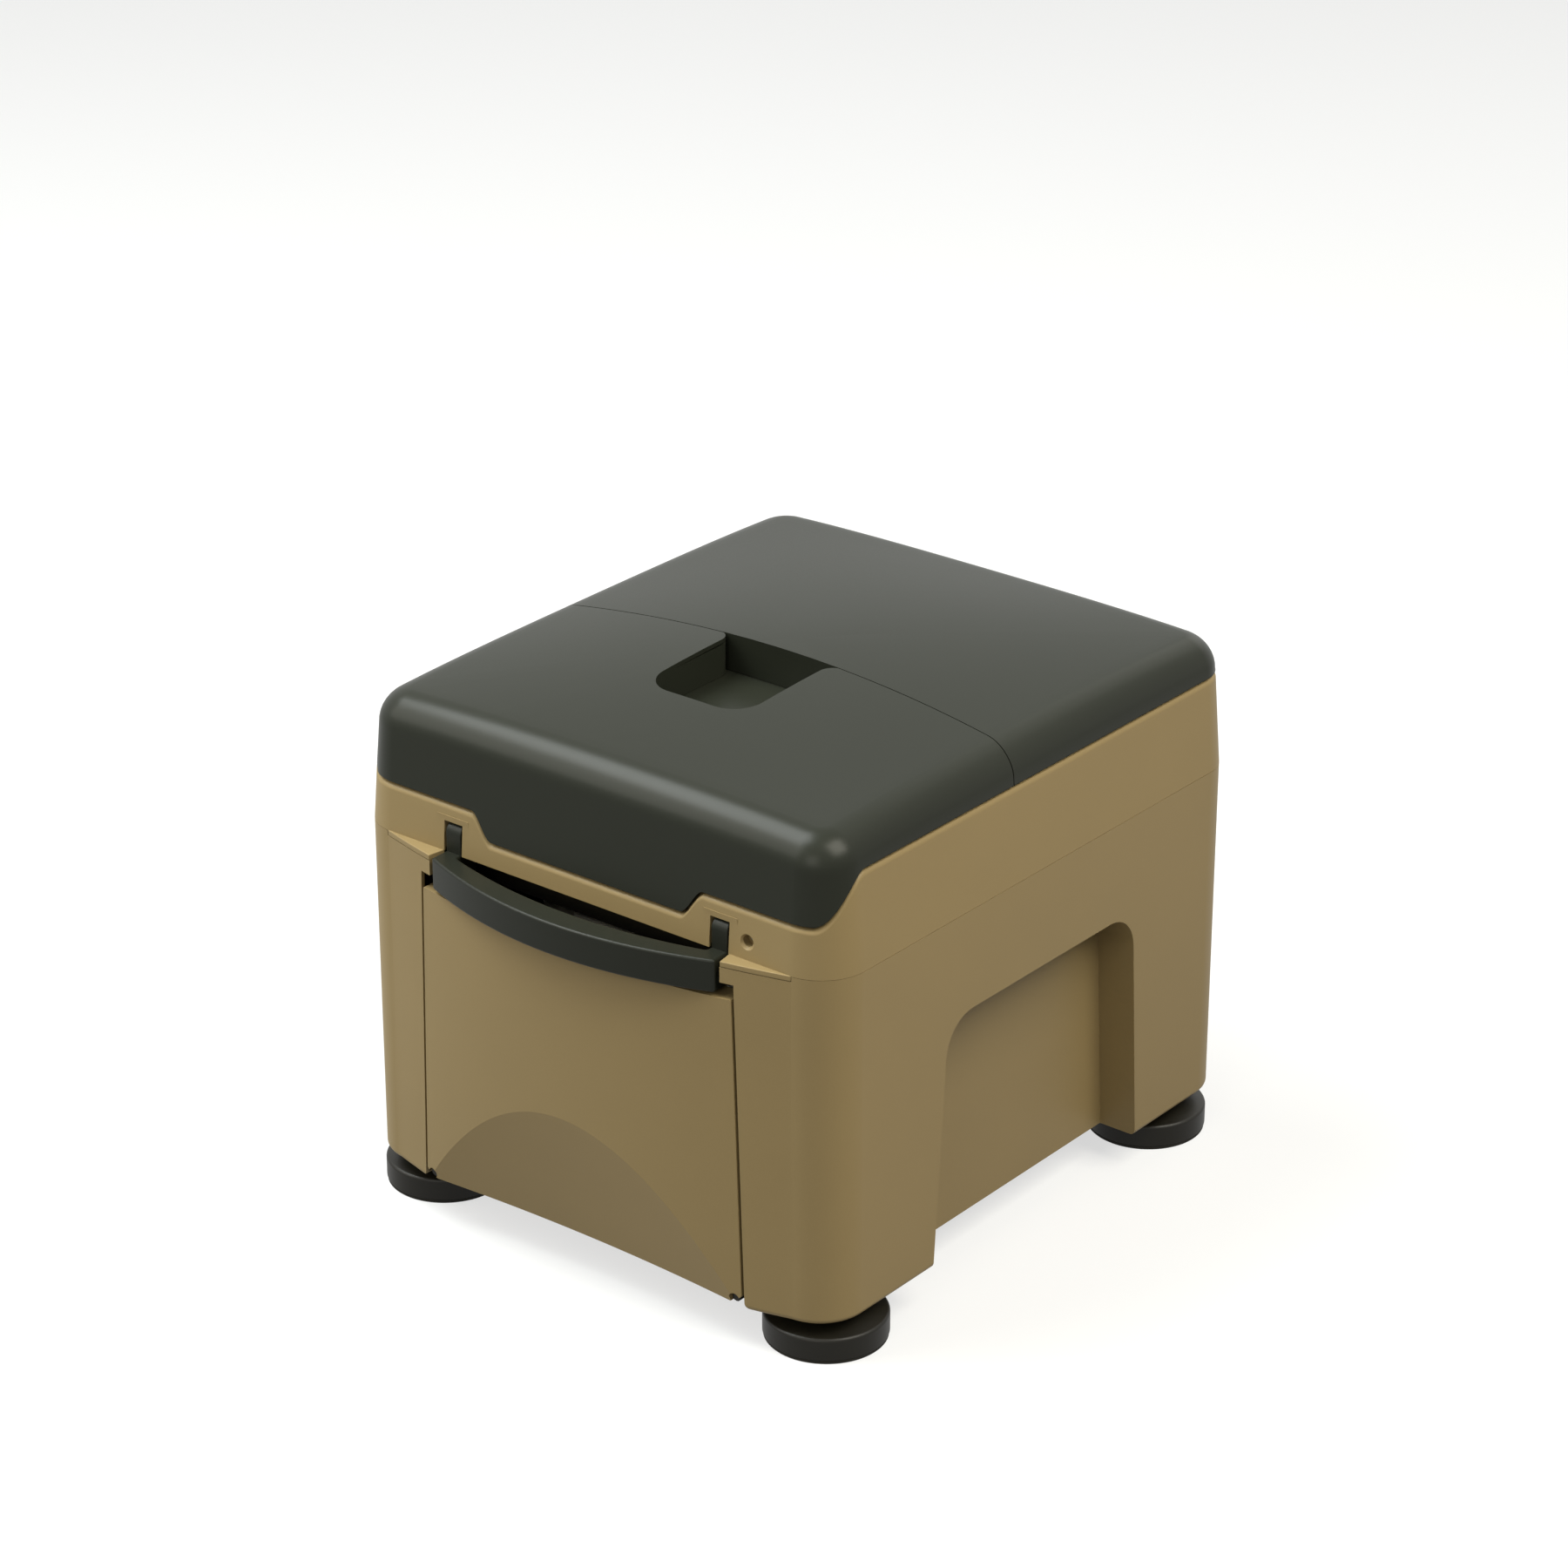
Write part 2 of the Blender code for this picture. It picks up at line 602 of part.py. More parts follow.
def station_list(spans):
    """Stations anticlockwise from the front's middle. Spans adds points on the long straights."""
    front = [APRON_HALF_WIDTH + APRON_SLOPE * i / SLOPE_STEPS for i in range(SLOPE_STEPS + 1)]
    run = CORNER_REAR_Y - CORNER_FRONT_Y
    tails = [CORNER_SLOPE_TAIL / 2, CORNER_SLOPE_TAIL]
    tails += [run * share for share in between(spans)]
    turn = [i / CORNER_STEPS for i in range(CORNER_STEPS + 1)]
    stations = [("front", x) for x in front]
    stations += [("corner", 0, share) for share in turn]
    stations += [("side", 1, tail) for tail in tails]
    stations += [("corner", 1, share) for share in turn]
    stations += [("rear", CORNER_X * (1 - 2 * share)) for share in between(spans)]
    stations += [("corner", 2, share) for share in turn]
    stations += [("side", -1, tail) for tail in reversed(tails)]
    stations += [("corner", 3, share) for share in turn]
    stations += [("front", -x) for x in reversed(front)]
    if spans > 1:
        middle = APRON_HALF_WIDTH * 2 / spans
        stations += [("front", x) for x in (-middle, 0, middle)]
    return stations


STATIONS = station_list(1)
LID_STATIONS = station_list(SPAN_STEPS)
CORNER_CENTRES = ((CORNER_X, CORNER_FRONT_Y), (CORNER_X, CORNER_REAR_Y),
                  (-CORNER_X, CORNER_REAR_Y), (-CORNER_X, CORNER_FRONT_Y))


def station_place(station, inset):
    """The station's x and y on the housing's outline drawn in by inset."""
    if station[0] == "front":
        return station[1], FRONT_Y + inset
    if station[0] == "rear":
        return station[1], REAR_Y - inset
    if station[0] == "side":
        return station[1] * (HALF_WIDTH - inset), CORNER_FRONT_Y + station[2]
    centre = CORNER_CENTRES[station[1]]
    angle = math.pi / 2 * (station[1] - 1 + station[2])
    radius = CORNER_RADIUS - inset
    return centre[0] + radius * math.cos(angle), centre[1] + radius * math.sin(angle)


def rim_height(station):
    """The rim is low along the front, lowest behind the lid's apron, and rises at the corners."""
    if station[0] == "front":
        share = (abs(station[1]) - APRON_HALF_WIDTH) / APRON_SLOPE
        return RIM_CENTRE_Z + (RIM_FRONT_Z - RIM_CENTRE_Z) * smooth(share)
    arc = CORNER_RADIUS * math.pi / 2
    start = arc * CORNER_SLOPE_START_SHARE
    run = arc - start + CORNER_SLOPE_TAIL
    if station[0] == "rear":
        return RIM_SIDE_Z
    if station[0] == "side":
        travelled = arc + station[2]
    elif station[1] == 0:
        travelled = arc * station[2]
    elif station[1] == 3:
        travelled = arc * (1 - station[2])
    else:
        return RIM_SIDE_Z
    return RIM_FRONT_Z + (RIM_SIDE_Z - RIM_FRONT_Z) * smooth((travelled - start) / run)


def draft(height):
    """How far the walls above the parting line have drawn in at a height."""
    return DRAFT * (height - PARTING_Z) / DRAFT_HEIGHT


def plan_ring(inset, height):
    return [(*station_place(station, inset), height) for station in STATIONS]


def bow_y(x, half_width=BOW_HALF_WIDTH, sag=BOW_DEPTH, tip_y=FRONT_Y):
    """The bowed front in plan: a shallow arc whose ends lie on the housing's front plane."""
    return tip_y - sag * (1 - (x / half_width) ** 2)


def lower_outline(inset):
    """Plan of the lower body: the bowed front between two rounded corners."""
    tip_angle = math.asin((BOW_HALF_WIDTH - CORNER_X) / CORNER_RADIUS)
    tip_y = CORNER_FRONT_Y - CORNER_RADIUS * math.cos(tip_angle)
    points = []
    for i in range(CURVE_STEPS + 1):
        x = (BOW_HALF_WIDTH - inset / 2) * (2 * i / CURVE_STEPS - 1)
        points.append((x, bow_y(x, tip_y=tip_y) + inset))
    radius = CORNER_RADIUS - inset
    start = (-math.pi / 2 + tip_angle, 0, math.pi / 2, math.pi)
    sweep = (math.pi / 2 - tip_angle, math.pi / 2, math.pi / 2, math.pi / 2 - tip_angle)
    for k, centre in enumerate(CORNER_CENTRES):
        first = 1 if k == 0 else 0
        last = CORNER_STEPS if k == 3 else CORNER_STEPS + 1
        for i in range(first, last):
            angle = start[k] + sweep[k] * i / CORNER_STEPS
            points.append((centre[0] + radius * math.cos(angle),
                           centre[1] + radius * math.sin(angle)))
    return points


# Lower body

def arch_outline(grow):
    """Side view of a side recess, in y and z, grown by a wall where it is lined."""
    front = FRONT_Y + ARCH_FRONT_SETBACK - grow
    rear = REAR_Y - ARCH_REAR_SETBACK + grow
    points = [(front - ARCH_FRONT_LEAN, LEG_BOTTOM_Z - OVERRUN),
              (rear + ARCH_REAR_LEAN, LEG_BOTTOM_Z - OVERRUN),
              (rear, ARCH_TOP_Z + grow), (front, ARCH_TOP_Z + grow)]
    radius = ARCH_RADIUS + grow
    return filleted(points, (0, 0, radius, radius), 7)


def foot_places():
    for row, y in (("front", FOOT_FRONT_Y), ("rear", FOOT_REAR_Y)):
        yield f"{row}_left", -FOOT_X, y
        yield f"{row}_right", FOOT_X, y


def frame_screw_places():
    rows = (FRONT_Y + FRAME_SCREW_FRONT_SETBACK, REAR_Y - FRAME_SCREW_REAR_SETBACK)
    return [(side * FRAME_SCREW_X, y) for side in (-1, 1) for y in rows]


def panel_half(height, grow=0.0):
    """Half the drawer front's width at a height: it is wider towards the floor."""
    share = (PANEL_TOP_Z - height) / (PANEL_TOP_Z - PANEL_BOTTOM_Z)
    return PANEL_TOP_HALF + (PANEL_BOTTOM_HALF - PANEL_TOP_HALF) * share + grow


def opening_outline():
    """Front view of the drawer's opening: it widens round the legs' inner corners."""
    right = [(panel_half(OPENING_TOP_Z, PANEL_GAP), OPENING_TOP_Z)]
    knee = LEG_BOTTOM_Z + LEG_CORNER
    for i in range(5):
        angle = math.pi / 2 * i / 4
        right.append((panel_half(knee, PANEL_GAP) + LEG_CORNER * (1 - math.cos(angle)),
                      knee - LEG_CORNER * math.sin(angle)))
    right.append((right[-1][0], LEG_BOTTOM_Z - OVERRUN))
    return right + [(-x, z) for x, z in reversed(right)]


def lower_body(finish):
    rings = []
    for inset, height in ((LEG_EDGE, LEG_BOTTOM_Z),
                          (LEG_EDGE / 3, LEG_BOTTOM_Z + LEG_EDGE / 3),
                          (0.0, LEG_BOTTOM_Z + LEG_EDGE),
                          (0.0, PARTING_Z - SEAT_GAP)):
        rings.append([(x, y, height) for x, y in lower_outline(inset)])
    body = piece("lower_body", loft(rings), finish)

    cavity = helper("body_cavity", prism(lower_outline(WALL), FLOOR_TOP_Z, PARTING_Z + OVERRUN))
    for side, name in ((-1, "left"), (1, "right")):
        inner = HALF_WIDTH - ARCH_DEPTH
        low, high = sorted((side * inner, side * (HALF_WIDTH + OVERRUN)))
        lined = sorted((side * (inner - WALL), side * (HALF_WIDTH + OVERRUN)))
        cut(cavity, helper(f"arch_lining_{name}", prism(arch_outline(WALL), *lined, "X")))
        cut(body, helper(f"arch_{name}", prism(arch_outline(0.0), low, high, "X")))
    cheek = POCKET_HALF_WIDTH + WALL
    back = FRONT_Y + POCKET_DEPTH + WALL
    cut(cavity, helper("header_wall", box((-cheek, FRONT_Y - BODY_DEPTH, POCKET_BOTTOM_Z),
                                          (cheek, back, PARTING_Z + 2 * OVERRUN))))
    cut(body, cavity)

    reach = FRONT_Y - BOW_DEPTH - OVERRUN
    cut(body, helper("handle_pocket",
                     box((-POCKET_HALF_WIDTH, reach, POCKET_BOTTOM_Z - OVERRUN),
                         (POCKET_HALF_WIDTH, FRONT_Y + POCKET_DEPTH, PARTING_Z + OVERRUN))))
    cut(body, helper("drawer_opening", prism(opening_outline(), reach, FRONT_Y + FLOOR_SETBACK,
                                             "Y")))
    step_top = PARTING_Z - LEDGE_DROP - SEAT_GAP
    cut(body, helper("ledge_step", box((-BOW_HALF_WIDTH - SEAT_GAP, reach, step_top),
                                       (BOW_HALF_WIDTH + SEAT_GAP, FRONT_Y + BITE + SEAT_GAP,
                                        PARTING_Z + OVERRUN))))
    for name, x, y in foot_places():
        cut(body, helper(f"stud_hole_{name}",
                         cylinder((x, y), STUD_RADIUS + 2 * SEAT_GAP, LEG_BOTTOM_Z - OVERRUN,
                                  FLOOR_TOP_Z + OVERRUN, segments=HOLE_SEGMENTS)))
    top = PARTING_Z - SEAT_GAP
    for i, (x, y) in enumerate(frame_screw_places()):
        boss_side = 1 if x > 0 else -1
        boss = helper(f"body_boss_{i}", cylinder((x, y), FRAME_BOSS_RADIUS,
                                                 top - FRAME_BOSS_HEIGHT, top - BITE / 4))
        web_x = sorted((x, boss_side * (HALF_WIDTH - WALL / 2)))
        web = helper(f"body_boss_web_{i}", box((web_x[0], y - WALL / 2, top - FRAME_BOSS_HEIGHT),
                                               (web_x[1], y + WALL / 2, top - BITE / 2)))
        join(body, web, boss)
        cut(body, helper(f"body_boss_hole_{i}",
                         cylinder((x, y), SCREW_SHANK_RADIUS + SEAT_GAP,
                                  top - SCREW_LENGTH - OVERRUN, top + OVERRUN)))
    return body


# Upper frame

def rim_profile(station):
    """Inset and height of each point round the frame's section at a station."""
    rim = rim_height(station)
    shoulder = draft(rim - RIM_BEAD)
    points = [(0.0, PARTING_Z), (shoulder, rim - RIM_BEAD)]
    for degrees in (45, 90):
        angle = math.radians(degrees)
        points.append((shoulder + RIM_BEAD * (1 - math.cos(angle)),
                       rim - RIM_BEAD * (1 - math.sin(angle))))
    lining = min(rim, UPSTAND_TOP_Z) - WALL
    points += [(UPSTAND_INSET, rim), (UPSTAND_INSET, UPSTAND_TOP_Z),
               (UPSTAND_INSET + WALL, UPSTAND_TOP_Z), (UPSTAND_INSET + WALL, lining),
               (shoulder + WALL, lining), (WALL, PARTING_Z)]
    return points


def ledge_outline(side):
    """Plan of a ledge: a wedge that follows the bowed front and ends beside the handle."""
    xs = [BOW_HALF_WIDTH + (LEDGE_INNER_X - BOW_HALF_WIDTH) * i / 5 for i in range(6)]
    points = [(side * x, bow_y(x)) for x in xs]
    points.append((side * LEDGE_ROOT_X, FRONT_Y + BITE))
    points.append((side * BOW_HALF_WIDTH, FRONT_Y + BITE))
    return points


def lug_outline(root_low_z, root_high_z, wall_y):
    """Side view of a hinge lug: a barrel with a web to the wall, in y and z."""
    radius = HINGE_BARREL_RADIUS
    points = [(wall_y, root_low_z)]
    low = root_low_z < HINGE_Z - radius
    start, end = (-60, 180) if low else (-150, 110)
    for i in range(11):
        angle = math.radians(start + (end - start) * i / 10)
        points.append((HINGE_Y + radius * math.cos(angle), HINGE_Z + radius * math.sin(angle)))
    if low:
        points.append((HINGE_Y - radius, root_high_z))
    points.append((wall_y, root_high_z))
    return points


def hinge_spans(part):
    """The x ranges of the lid's or the frame's knuckles on both hinges."""
    half = HINGE_LID_LENGTH / 2
    for side in (-1, 1):
        centre = side * HINGE_X
        if part == "lid":
            yield centre - half, centre + half
        else:
            yield centre - half - SEAT_GAP - HINGE_FRAME_LENGTH, centre - half - SEAT_GAP
            yield centre + half + SEAT_GAP, centre + half + SEAT_GAP + HINGE_FRAME_LENGTH


def pin_hole(name, x_low, x_high, y, z, radius):
    return helper(name, cylinder((y, z), radius + SEAT_GAP, x_low, x_high, "X"))


def upper_frame(finish):
    sections = [rim_profile(station) for station in STATIONS]
    rings = []
    for k in range(len(sections[0])):
        rings.append([(*station_place(station, section[k][0]), section[k][1])
                      for station, section in zip(STATIONS, sections)])
    frame = piece("upper_frame", loft(rings, closed=True), finish)

    for side, name in ((-1, "left"), (1, "right")):
        ledge = helper(f"ledge_{name}", prism(ledge_outline(side), PARTING_Z - LEDGE_DROP,
                                              PARTING_Z + SEAT_GAP))
        bevel(ledge, LEDGE_EDGE, 2, 60)
        low, high = sorted((side * CHEEK_INNER_X, side * CHEEK_OUTER_X))
        cheek = helper(f"cheek_{name}", box((low, FRONT_Y + WALL / 2, PARTING_Z + SEAT_GAP),
                                            (high, FRONT_Y + CHEEK_DEPTH, CHEEK_TOP_Z)))
        join(frame, ledge, cheek)
        low, high = sorted((side * (ARM_INNER_X - SLOT_GAP),
                            side * (BOW_HALF_LENGTH + SLOT_GAP)))
        slot = helper(f"slot_{name}", box((low, FRONT_Y - OVERRUN, PARTING_Z - OVERRUN),
                                          (high, ARM_BACK_Y + SLOT_GAP, ARM_TOP_Z + SLOT_GAP)))
        cut(frame, slot)
        low, high = sorted((side * (CHEEK_INNER_X + WALL / 2), side * (CHEEK_OUTER_X - WALL / 2)))
        cut(frame, pin_hole(f"handle_pin_hole_{name}", low, high, PIVOT_Y, PIVOT_Z,
                            HANDLE_PIN_RADIUS))

    front_hole = (FRONT_SCREW_X, FRONT_SCREW_Z)
    join(frame, helper("front_boss", cylinder(front_hole, FRONT_BOSS_RADIUS, FRONT_Y + WALL / 2,
                                              FRONT_Y + FRONT_BOSS_DEPTH, "Y")))
    cut(frame, helper("front_hole", cylinder(front_hole, FRONT_HOLE_RADIUS, FRONT_Y - OVERRUN,
                                             FRONT_Y + FRONT_SCREW_SINK + SCREW_HEAD_HEIGHT,
                                             "Y", HOLE_SEGMENTS)),
        helper("front_hole_rim", cylinder(front_hole, FRONT_HOLE_RADIUS + 2 * FRONT_HOLE_RIM,
                                          FRONT_Y - FRONT_HOLE_RIM / 2, FRONT_Y + FRONT_HOLE_RIM * 1.5,
                                          "Y", HOLE_SEGMENTS, FRONT_HOLE_RADIUS)),
        helper("front_screw_hole", cylinder(front_hole, SCREW_SHANK_RADIUS + SEAT_GAP,
                                            FRONT_Y, FRONT_Y + FRONT_BOSS_DEPTH + OVERRUN, "Y")))

    rear_wall = REAR_Y - draft(HINGE_Z)
    for i, (low, high) in enumerate(hinge_spans("frame")):
        outline = lug_outline(HINGE_Z - HINGE_LUG_HEIGHT, RIM_SIDE_Z - RIM_BEAD,
                              rear_wall - WALL / 3)
        join(frame, helper(f"frame_lug_{i}", prism(outline, low, high, "X")))
    for side, name in ((-1, "left"), (1, "right")):
        reach = HINGE_LID_LENGTH / 2 + HINGE_FRAME_LENGTH + OVERRUN
        cut(frame, pin_hole(f"lid_pin_hole_{name}", side * HINGE_X - reach,
                            side * HINGE_X + reach, HINGE_Y, HINGE_Z, HINGE_PIN_RADIUS))
    for i, (x, y) in enumerate(frame_screw_places()):
        outer = HALF_WIDTH - WALL / 2
        xs = sorted((x - math.copysign(GUSSET_HALF, x), math.copysign(outer, x)))
        join(frame, helper(f"gusset_{i}", box((xs[0], y - GUSSET_HALF, PARTING_Z + SEAT_GAP / 3),
                                              (xs[1], y + GUSSET_HALF,
                                               PARTING_Z + GUSSET_THICKNESS))))
        cut(frame, helper(f"gusset_hole_{i}", cylinder((x, y), SCREW_SHANK_RADIUS + SEAT_GAP,
                                                       PARTING_Z - OVERRUN,
                                                       PARTING_Z + GUSSET_THICKNESS + OVERRUN)))
    return frame


# Lid

def crown(x, y):
    """Height of the lid's top: highest in the middle and a little lower at the corners."""
    across = min(1.0, (x / LID_HALF_WIDTH) ** 2)
    along = min(1.0, ((y - MIDDLE_Y) / LID_HALF_DEPTH) ** 2)
    drop = LID_CORNER_DROP * (across * along) ** 2
    return LID_EDGE_Z + LID_CROWN * (1 - across) * (1 - along) - drop


def lid_shell(name, finish, carrier):
    """The whole lid's skin, from which the front and rear covers are cut."""
    bottom = [rim_height(station) + LID_GAP for station in LID_STATIONS]
    rings = [[(*station_place(station, draft(z)), z) for station, z in zip(LID_STATIONS, bottom)]]
    edge_inset = draft(LID_EDGE_Z - LID_ROUND)
    for degrees in (0, 22.5, 45, 67.5, 90):
        angle = math.radians(degrees)
        inset = edge_inset + LID_ROUND * (1 - math.cos(angle))
        ring = []
        for station in LID_STATIONS:
            x, y = station_place(station, inset)
            ring.append((x, y, crown(x, y) - LID_ROUND * (1 - math.sin(angle))))
        rings.append(ring)
    edge = rings[-1]
    for share in CROWN_RING_SHARES:
        ring = []
        for x, y, _ in edge:
            x, y = x * share, MIDDLE_Y + (y - MIDDLE_Y) * share
            ring.append((x, y, crown(x, y)))
        rings.append(ring)
    bm = bmesh.new()
    skins = [[bm.verts.new(point) for point in ring] for ring in rings]
    for lower, upper in zip(skins, skins[1:]):
        for i in range(len(lower)):
            j = (i + 1) % len(lower)
            bm.faces.new((lower[i], lower[j], upper[j], upper[i]))
    apex = bm.verts.new((0, MIDDLE_Y, crown(0, MIDDLE_Y)))
    for i in range(len(skins[-1])):
        bm.faces.new((skins[-1][i], skins[-1][(i + 1) % len(skins[-1])], apex))
    shell = piece(name, finished(bm), finish, carrier)
    thick = shell.modifiers.new("wall", "SOLIDIFY")
    thick.thickness = WALL
    thick.offset = -1
    return shell


def seam_line(half, shift, steps):
    """The seam across the lid from -half to half: bowed back a little in the middle."""
    xs = [half * (2 * i / steps - 1) for i in range(steps + 1)]
    middle = FRONT_Y + SEAM_SETBACK + SEAM_BOW + shift
    return [(x, middle - SEAM_BOW * (x / HALF_WIDTH) ** 2) for x in xs]


def notch_outline(grow):
    """Plan of the finger pocket: open to the seam, with flared mouth corners."""
    half = NOTCH_HALF_WIDTH + grow
    front = NOTCH_FRONT_Y - grow
    rear = FRONT_Y + SEAM_SETBACK + SEAM_BOW
    radius = NOTCH_RADIUS + grow
    mouth = NOTCH_MOUTH_RADIUS - grow
    points = []
    for i in range(7):
        angle = math.pi / 12 * i
        points.append((half - radius + radius * math.sin(angle),
                       front + radius - radius * math.cos(angle)))
    for i in range(7):
        angle = math.pi / 12 * i
        points.append((half + mouth - mouth * math.cos(angle), rear - mouth + mouth * math.sin(angle)))
    points.append((half + mouth, rear + OVERRUN))
    return points + [(-x, y) for x, y in reversed(points)]


def boss_places():
    rows = (FRONT_Y + LID_SCREW_SETBACK, FRONT_Y + SEAM_SETBACK + LID_SCREW_SEAM_OFFSET,
            REAR_Y - LID_SCREW_REAR_SETBACK)
    return [(side * LID_SCREW_X, y) for y in rows for side in (-1, 1)]


def lid_bosses(cover, places, label):
    for i, (x, y) in enumerate(places):
        top = crown(x, y) - WALL / 2
        join(cover, helper(f"{label}_boss_{i}", cylinder((x, y), LID_BOSS_RADIUS,
                                                         PAN_TOP_Z + SEAT_GAP, top)))
        cut(cover, helper(f"{label}_boss_hole_{i}",
                          cylinder((x, y), SCREW_SHANK_RADIUS + SEAT_GAP, PAN_TOP_Z - OVERRUN,
                                   PAN_TOP_Z + (top - PAN_TOP_Z) * 0.75, segments=8)))


def lid_covers(finish, carrier):
    reach = HALF_WIDTH + OVERRUN
    seam_low = seam_line(reach, -SEAM_GAP / 2, CURVE_STEPS)
    seam_high = seam_line(reach, SEAM_GAP / 2, CURVE_STEPS)
    behind = seam_low + [(reach, REAR_Y + OVERRUN), (-reach, REAR_Y + OVERRUN)]
    ahead = seam_high + [(reach, FRONT_Y - OVERRUN), (-reach, FRONT_Y - OVERRUN)]
    low_z = RIM_CENTRE_Z - OVERRUN
    high_z = LID_EDGE_Z + LID_CROWN + OVERRUN

    front = lid_shell("front_lid", finish, carrier)
    inside_z = crown(0, NOTCH_FRONT_Y) - WALL / 2
    join(front, helper("pocket_wall", prism(notch_outline(POCKET_WALL), PAN_TOP_Z + SEAT_GAP,
                                            inside_z)))
    cut(front, helper("behind_seam", prism(behind, low_z, high_z)))
    cut(front, helper("notch", prism(notch_outline(0.0), PAN_TOP_Z - OVERRUN, high_z)))
    lid_bosses(front, boss_places()[:2], "front_cover")

    rear = lid_shell("rear_lid", finish, carrier)
    half = NOTCH_HALF_WIDTH + NOTCH_MOUTH_RADIUS
    back = seam_line(half, SEAM_GAP / 2 + POCKET_WALL, SPAN_STEPS)
    wall = seam_line(half, -BITE, SPAN_STEPS) + list(reversed(back))
    inside_z = crown(half, FRONT_Y + SEAM_SETBACK) - WALL / 2
    join(rear, helper("pocket_back", prism(wall, PAN_TOP_Z + SEAT_GAP, inside_z)))
    cut(rear, helper("ahead_of_seam", prism(ahead, low_z, high_z)))
    lid_bosses(rear, boss_places()[2:], "rear_cover")
    rear_wall = REAR_Y - draft(HINGE_Z)
    for i, (low, high) in enumerate(hinge_spans("lid")):
        base = RIM_SIDE_Z + LID_GAP + WALL
        outline = lug_outline(base, base + HINGE_WEB_HEIGHT, rear_wall - WALL / 3)
        join(rear, helper(f"lid_lug_{i}", prism(outline, low, high, "X")))
        cut(rear, pin_hole(f"lid_knuckle_hole_{i}", low - OVERRUN, high + OVERRUN, HINGE_Y,
                           HINGE_Z, HINGE_PIN_RADIUS))


def oval(half_width, half_length, power=2.0):
    """A seat-shaped outline: an ellipse, or squarer with a higher power."""
    points = []
    for i in range(OVAL_SEGMENTS):
        angle = math.tau * i / OVAL_SEGMENTS
        c, s = math.cos(angle), math.sin(angle)
        reach = (abs(c) ** power + abs(s) ** power) ** (-1 / power)
        points.append((half_width * c * reach, SEAT_Y + half_length * s * reach))
    return points


def oval_ring(half_width, half_length, height, power=2.0):
    return [(x, y, height) for x, y in oval(half_width, half_length, power)]


def lid_pan(finish, carrier):
    rings = [plan_ring(PAN_INSET + PAN_THICKNESS / 2, PAN_BOTTOM_Z),
             plan_ring(PAN_INSET, PAN_BOTTOM_Z + PAN_THICKNESS / 2),
             plan_ring(PAN_INSET, PAN_TOP_Z)]
    pan = piece("lid_pan", loft(rings), finish, carrier)
    for i, (x, y) in enumerate(boss_places()):
        cut(pan, helper(f"pan_hole_{i}", cylinder((x, y), SCREW_SHANK_RADIUS + SEAT_GAP,
                                                  PAN_BOTTOM_Z - OVERRUN, PAN_TOP_Z + OVERRUN,
                                                  segments=8)))


def lid_gasket(finish, carrier):
    low, high = SEAT_TOP_Z + SEAT_GAP, PAN_BOTTOM_Z - SEAT_GAP
    inner, outer = GASKET_OFFSET, GASKET_OFFSET + GASKET_WIDTH
    rings = [oval_ring(SEAT_HOLE_HALF_WIDTH + grow, SEAT_HOLE_HALF_LENGTH + grow, height)
             for grow, height in ((inner, high), (inner + GASKET_WIDTH / 4, low),
                                  (outer - GASKET_WIDTH / 4, low), (outer, high))]
    piece("lid_gasket", loft(rings, closed=True), finish, carrier)


def lid_small_parts(finish_rubber, finish_steel, carrier):
    low, high = DECK_TOP_Z + SEAT_GAP, PAN_BOTTOM_Z - SEAT_GAP
    nose = BUMPER_RADIUS / 3
    profile = [(0, high), (BUMPER_RADIUS, high), (BUMPER_RADIUS, low + nose),
               (BUMPER_RADIUS - nose, low), (0, low)]
    for number, side in enumerate((-1, 1), 1):
        revolve(f"lid_bumper_{number}", profile, (side * BUMPER_X, FRONT_Y + BUMPER_SETBACK),
                finish_rubber, carrier, segments=SMALL_SEGMENTS)
    length = PAN_THICKNESS + SEAT_GAP * 2 + PAN_DEPTH / 2
    for number, place in enumerate(boss_places(), 1):
        screw(f"lid_screw_{number}", place, PAN_BOTTOM_Z - SEAT_GAP, False, finish_steel, carrier,
              length)


# Seat, deck and splash bowl

def seat_deck(finish):
    """A deck that rests on the frame's upstand and carries the splash bowl and the seat."""
    edge = UPSTAND_INSET + SEAT_GAP
    deck = piece("seat_deck", loft([plan_ring(edge, DECK_BOTTOM_Z), plan_ring(edge, DECK_TOP_Z)]),
                 finish)
    room = BOWL_LEDGE + BOWL_WALL + SEAT_GAP
    hole = oval(SEAT_HOLE_HALF_WIDTH + room, SEAT_HOLE_HALF_LENGTH + room)
    cut(deck, helper("deck_hole", prism(hole, DECK_BOTTOM_Z - OVERRUN, DECK_TOP_Z + OVERRUN)))


